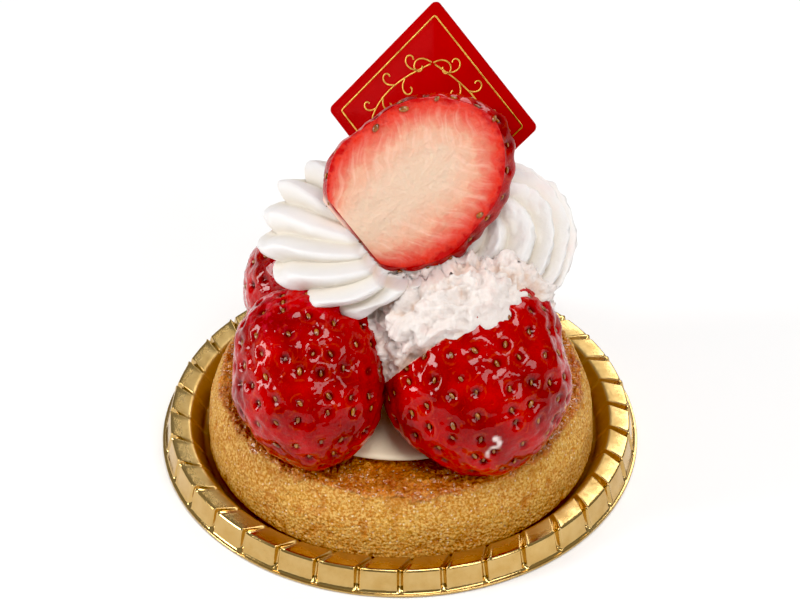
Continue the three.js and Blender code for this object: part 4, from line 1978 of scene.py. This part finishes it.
@dataclass
class RedCard:
    """The red card: a rounded square with a gold border and a gold corner flourish."""

    SCROLL_STEPS = 40

    node: str = "red_card"
    middle: Triple = (0.0062, 0.018, 0.0666)
    side: float = 0.0334
    thickness: float = 0.0007
    corner: float = 0.0012
    bevel: float = 0.00008
    lean: float = math.radians(26)
    turn: float = math.radians(-32)
    roll: float = math.radians(-12.5)
    border_inset: float = 0.0022
    border_width: float = 0.00034
    border_corner: float = 0.0004
    line_width: float = 0.00034
    print_rise: float = 0.00004
    print_sunk: float = 0.00002

    def move(self) -> Matrix:
        """Returns the move from the card's own plane to its place."""
        in_plane = Matrix.Rotation(math.pi / 4 + self.roll, 4, "Y")
        upright = Matrix.Rotation(-self.lean, 4, "X")
        round_z = Matrix.Rotation(self.turn, 4, "Z")
        return Matrix.Translation(Vector(self.middle)) @ round_z @ upright @ in_plane

    @staticmethod
    def rounded_square(half: float, corner: float, steps: int) -> np.ndarray:
        """Works out a rounded square's outline in the XZ plane.

        Args:
            half: Half its side.
            corner: Its corner radius.
            steps: How many points each corner has.

        Returns:
            The outline's points.
        """
        inset = half - corner
        outline = []
        for quarter, (east, up) in enumerate(((1, 1), (-1, 1), (-1, -1), (1, -1))):
            for angle in np.linspace(0, math.pi / 2, steps) + quarter * math.pi / 2:
                across = east * inset + corner * math.cos(angle)
                outline.append((across, 0, up * inset + corner * math.sin(angle)))
        return np.array(outline)

    def plate(self) -> Piece:
        """Builds the card itself.

        Returns:
            The card's piece.
        """
        edge = self.rounded_square(self.side / 2, self.corner, 8)
        bevel = self.bevel
        inner = self.rounded_square(self.side / 2 - bevel, self.corner - bevel, 8)
        half = self.thickness / 2
        rings = np.stack([
            inner * 0.5 + (0, -half, 0),
            inner + (0, -half, 0),
            edge + (0, -half + bevel, 0),
            edge + (0, half - bevel, 0),
            inner + (0, half, 0),
            inner * 0.5 + (0, half, 0),
        ])
        placed = moved(rings.reshape(-1, 3), self.move()).reshape(rings.shape)
        front = moved(np.array([(0, -half, 0)]), self.move())[0]
        back = moved(np.array([(0, half, 0)]), self.move())[0]
        return closed_form("card_plate", front, placed, back)

    def stroke(self, line: np.ndarray, width: float, closed: bool) -> tuple[np.ndarray, list]:
        """Makes a flat printed line along a path on the card's front.

        Args:
            line: The path, as points in the XZ plane.
            width: The line's width.
            closed: Whether the path joins up.

        Returns:
            The line's points and faces.
        """
        ahead = np.roll(line, -1, axis=0) if closed else np.vstack([line[1:], line[-1:]])
        behind = np.roll(line, 1, axis=0) if closed else np.vstack([line[:1], line[:-1]])
        way = ahead - behind
        way /= np.linalg.norm(way, axis=1, keepdims=True)
        across = np.stack([-way[:, 2], 0 * way[:, 0], way[:, 0]], axis=-1) * width / 2
        base = -self.thickness / 2 + self.print_sunk
        top = -self.thickness / 2 - self.print_rise
        corners = [line - across + (0, base, 0), line - across * 0.8 + (0, top, 0),
                   line + across * 0.8 + (0, top, 0), line + across + (0, base, 0)]
        rings = np.stack(corners, axis=1)
        count = len(line)
        faces = []
        for index in range(count if closed else count - 1):
            after = (index + 1) % count
            for side in range(4):
                beside = (side + 1) % 4
                faces.append([4 * index + side, 4 * after + side, 4 * after + beside, 4 * index + beside])
        if not closed:
            faces.append([3, 2, 1, 0])
            faces.append([4 * count - 4, 4 * count - 3, 4 * count - 2, 4 * count - 1])
        return rings.reshape(-1, 3), faces

    def scroll(self, start: tuple[float, float], heading: float, reach: float, curl: float) -> np.ndarray:
        """Works out a curling tendril.

        Args:
            start: Where it starts, in the card's plane.
            heading: Which way it sets off.
            reach: How long it is.
            curl: How far it turns, in all.

        Returns:
            The tendril's points.
        """
        shares = np.linspace(0, 1, self.SCROLL_STEPS)
        headings = heading + curl * shares**2
        ways = np.stack([np.cos(headings), 0 * headings, np.sin(headings)], axis=-1)
        steps = reach / self.SCROLL_STEPS * ways
        return np.array((start[0], 0, start[1])) + np.cumsum(steps, axis=0)

    def flourish(self) -> list[np.ndarray]:
        """Works out one half of a corner flourish: a curving stem with tendrils that curl off it.

        Returns:
            The lines, in the card's plane.
        """
        start = (-0.0078, 0.0078)
        stem = self.scroll(start, math.radians(252), 0.0185, 0.8)
        lines = [stem, self.scroll(start, math.radians(200), 0.0085, 5.6)]
        for index, (at, side) in enumerate(((7, -1), (14, 1), (20, -1), (28, 1), (34, -1))):
            foot = stem[at]
            way = stem[at + 1] - foot
            heading = math.atan2(way[2], way[0]) + side * 0.6
            reach = 0.0066 - 0.0004 * index
            lines.append(self.scroll((foot[0], foot[2]), heading, reach, side * 4.6))
        return lines

    def prints(self) -> Piece:
        """Builds the gold print: a border, and a flourish in its upper corner.

        Returns:
            The print's piece.
        """
        border = self.rounded_square(self.side / 2 - self.border_inset, self.border_corner, 4)
        strokes = [self.stroke(border, self.border_width, True)]
        for line in self.flourish():
            mirrored = -line[:, ::-1]
            strokes.append(self.stroke(line, self.line_width, False))
            strokes.append(self.stroke(mirrored, self.line_width, False))
        points, faces = gathered(strokes)
        return Piece("card_print", moved(points, self.move()), faces)

    def dress(self, effects: Effects) -> None:
        """Builds and dresses the card and its print.

        Args:
            effects: The shared shader groups.
        """
        self.plate().dress([CoatedCard().make(effects)], Slot.CARD, [self.node])
        self.prints().dress([GoldPrint().make(effects)], Slot.CARD)


@dataclass(frozen=True)
class Softbox:
    """A soft lamp."""

    name: str
    place: Triple
    size: tuple[float, float]
    power: float
    colour: Colour = (1, 0.995, 0.985)

    def hang(self, aim: Triple) -> None:
        """Hangs the lamp.

        Args:
            aim: What it looks at.
        """
        data = bpy.data.lights.new(self.name, "AREA")
        data.shape = "RECTANGLE"
        data.size, data.size_y = self.size
        data.energy = self.power
        data.color = self.colour
        lamp = bpy.data.objects.new(self.name, data)
        lamp.location = self.place
        way = Vector(aim) - Vector(self.place)
        lamp.rotation_euler = way.to_track_quat("-Z", "Y").to_euler()
        bpy.context.scene.collection.objects.link(lamp)


@dataclass
class Studio:
    """The floor, the light and the camera."""

    lamps: tuple[Softbox, ...] = (
        Softbox("top", (0.1, -0.28, 0.85), (0.34, 0.34), 3.6),
        Softbox("left", (-0.75, -0.14, 0.28), (0.22, 0.36), 3.4),
        Softbox("right", (0.45, -0.55, 0.46), (0.28, 0.36), 1.7),
        Softbox("back", (0.3, 0.72, 0.6), (0.6, 0.3), 2.2, (1, 1, 1)),
    )
    aim: Triple = (0, 0, 0.03)
    lens: float = 103.5
    sensor: float = 36.0
    distance: float = 0.4876
    elevation: float = math.radians(41.1)
    pitch: float = math.radians(37.9)
    floor_drop: float = 0.0002
    floor_reach: float = 6.0
    room: float = 0.33
    black: float = 0.013
    white: float = 0.96

    def camera(self) -> None:
        """Makes the camera at the photograph's viewing angle."""
        data = bpy.data.cameras.new("camera")
        data.lens = self.lens
        data.sensor_width = self.sensor
        data.clip_start = 0.01
        camera = bpy.data.objects.new("camera", data)
        reach = self.distance
        camera.location = (0, -reach * math.cos(self.elevation), reach * math.sin(self.elevation))
        camera.rotation_euler = (math.pi / 2 - self.pitch, 0, 0)
        bpy.context.scene.collection.objects.link(camera)
        bpy.context.scene.camera = camera

    def light(self) -> None:
        """Hangs the lamps and sets the room's own light."""
        for lamp in self.lamps:
            lamp.hang(self.aim)
        world = bpy.data.worlds.new("room")
        bpy.context.scene.world = world
        world.use_nodes = True
        shader = Shader(world.node_tree)
        background = world.node_tree.nodes["Background"]
        way = shader.add("SeparateXYZ", {"Vector": shader.add("TexCoord").outputs["Generated"]})
        sky = shader.blend(shader.spread(way.outputs["Z"], -0.1, 0.9), (0.6, 0.6, 0.6), (1, 1, 1))
        shader.feed(background.inputs["Color"], sky)
        background.inputs["Strength"].default_value = self.room

    def floor(self, effects: Effects) -> None:
        """Lays the floor.

        Args:
            effects: The shared shader groups.
        """
        reach = self.floor_reach
        corners = [(-reach, -reach, 0), (reach, -reach, 0), (reach, reach, 0), (-reach, reach, 0)]
        piece = Piece("floor", np.array(corners) - (0, 0, self.floor_drop), [[0, 1, 2, 3]])
        piece.object.data.materials.append(PaleFloor().make(effects))

    def set_up(self, effects: Effects) -> None:
        """Lays the floor and hangs the lamps.

        Args:
            effects: The shared shader groups.
        """
        self.floor(effects)
        self.light()
        settings = bpy.context.scene.view_settings
        settings.view_transform = "Standard"
        settings.use_curve_mapping = True
        settings.curve_mapping.black_level = (self.black,) * 3
        settings.curve_mapping.white_level = (self.white,) * 3
        settings.curve_mapping.update()


def main() -> None:
    """Builds the studio and dresses the tart, piece by piece."""
    logging.basicConfig(level=logging.INFO)
    studio = Studio()
    studio.camera()
    effects = Effects(mottle_group(), grain_group(), specks_group())
    studio.set_up(effects)
    half = HalfBerry()
    PortionCase().dress(effects)
    TartCrust().dress(effects)
    CreamBed().dress(effects)
    skin = BerrySkin().make(effects)
    husk = SeedHusk().make(effects)
    ring = BerryRing()
    ring.dress(skin, husk)
    WhippedCream().dress(effects, half, ring.berries[1])
    half.dress(effects, skin, husk)
    RedCard().dress(effects)


if __name__ == "__main__":
    main()
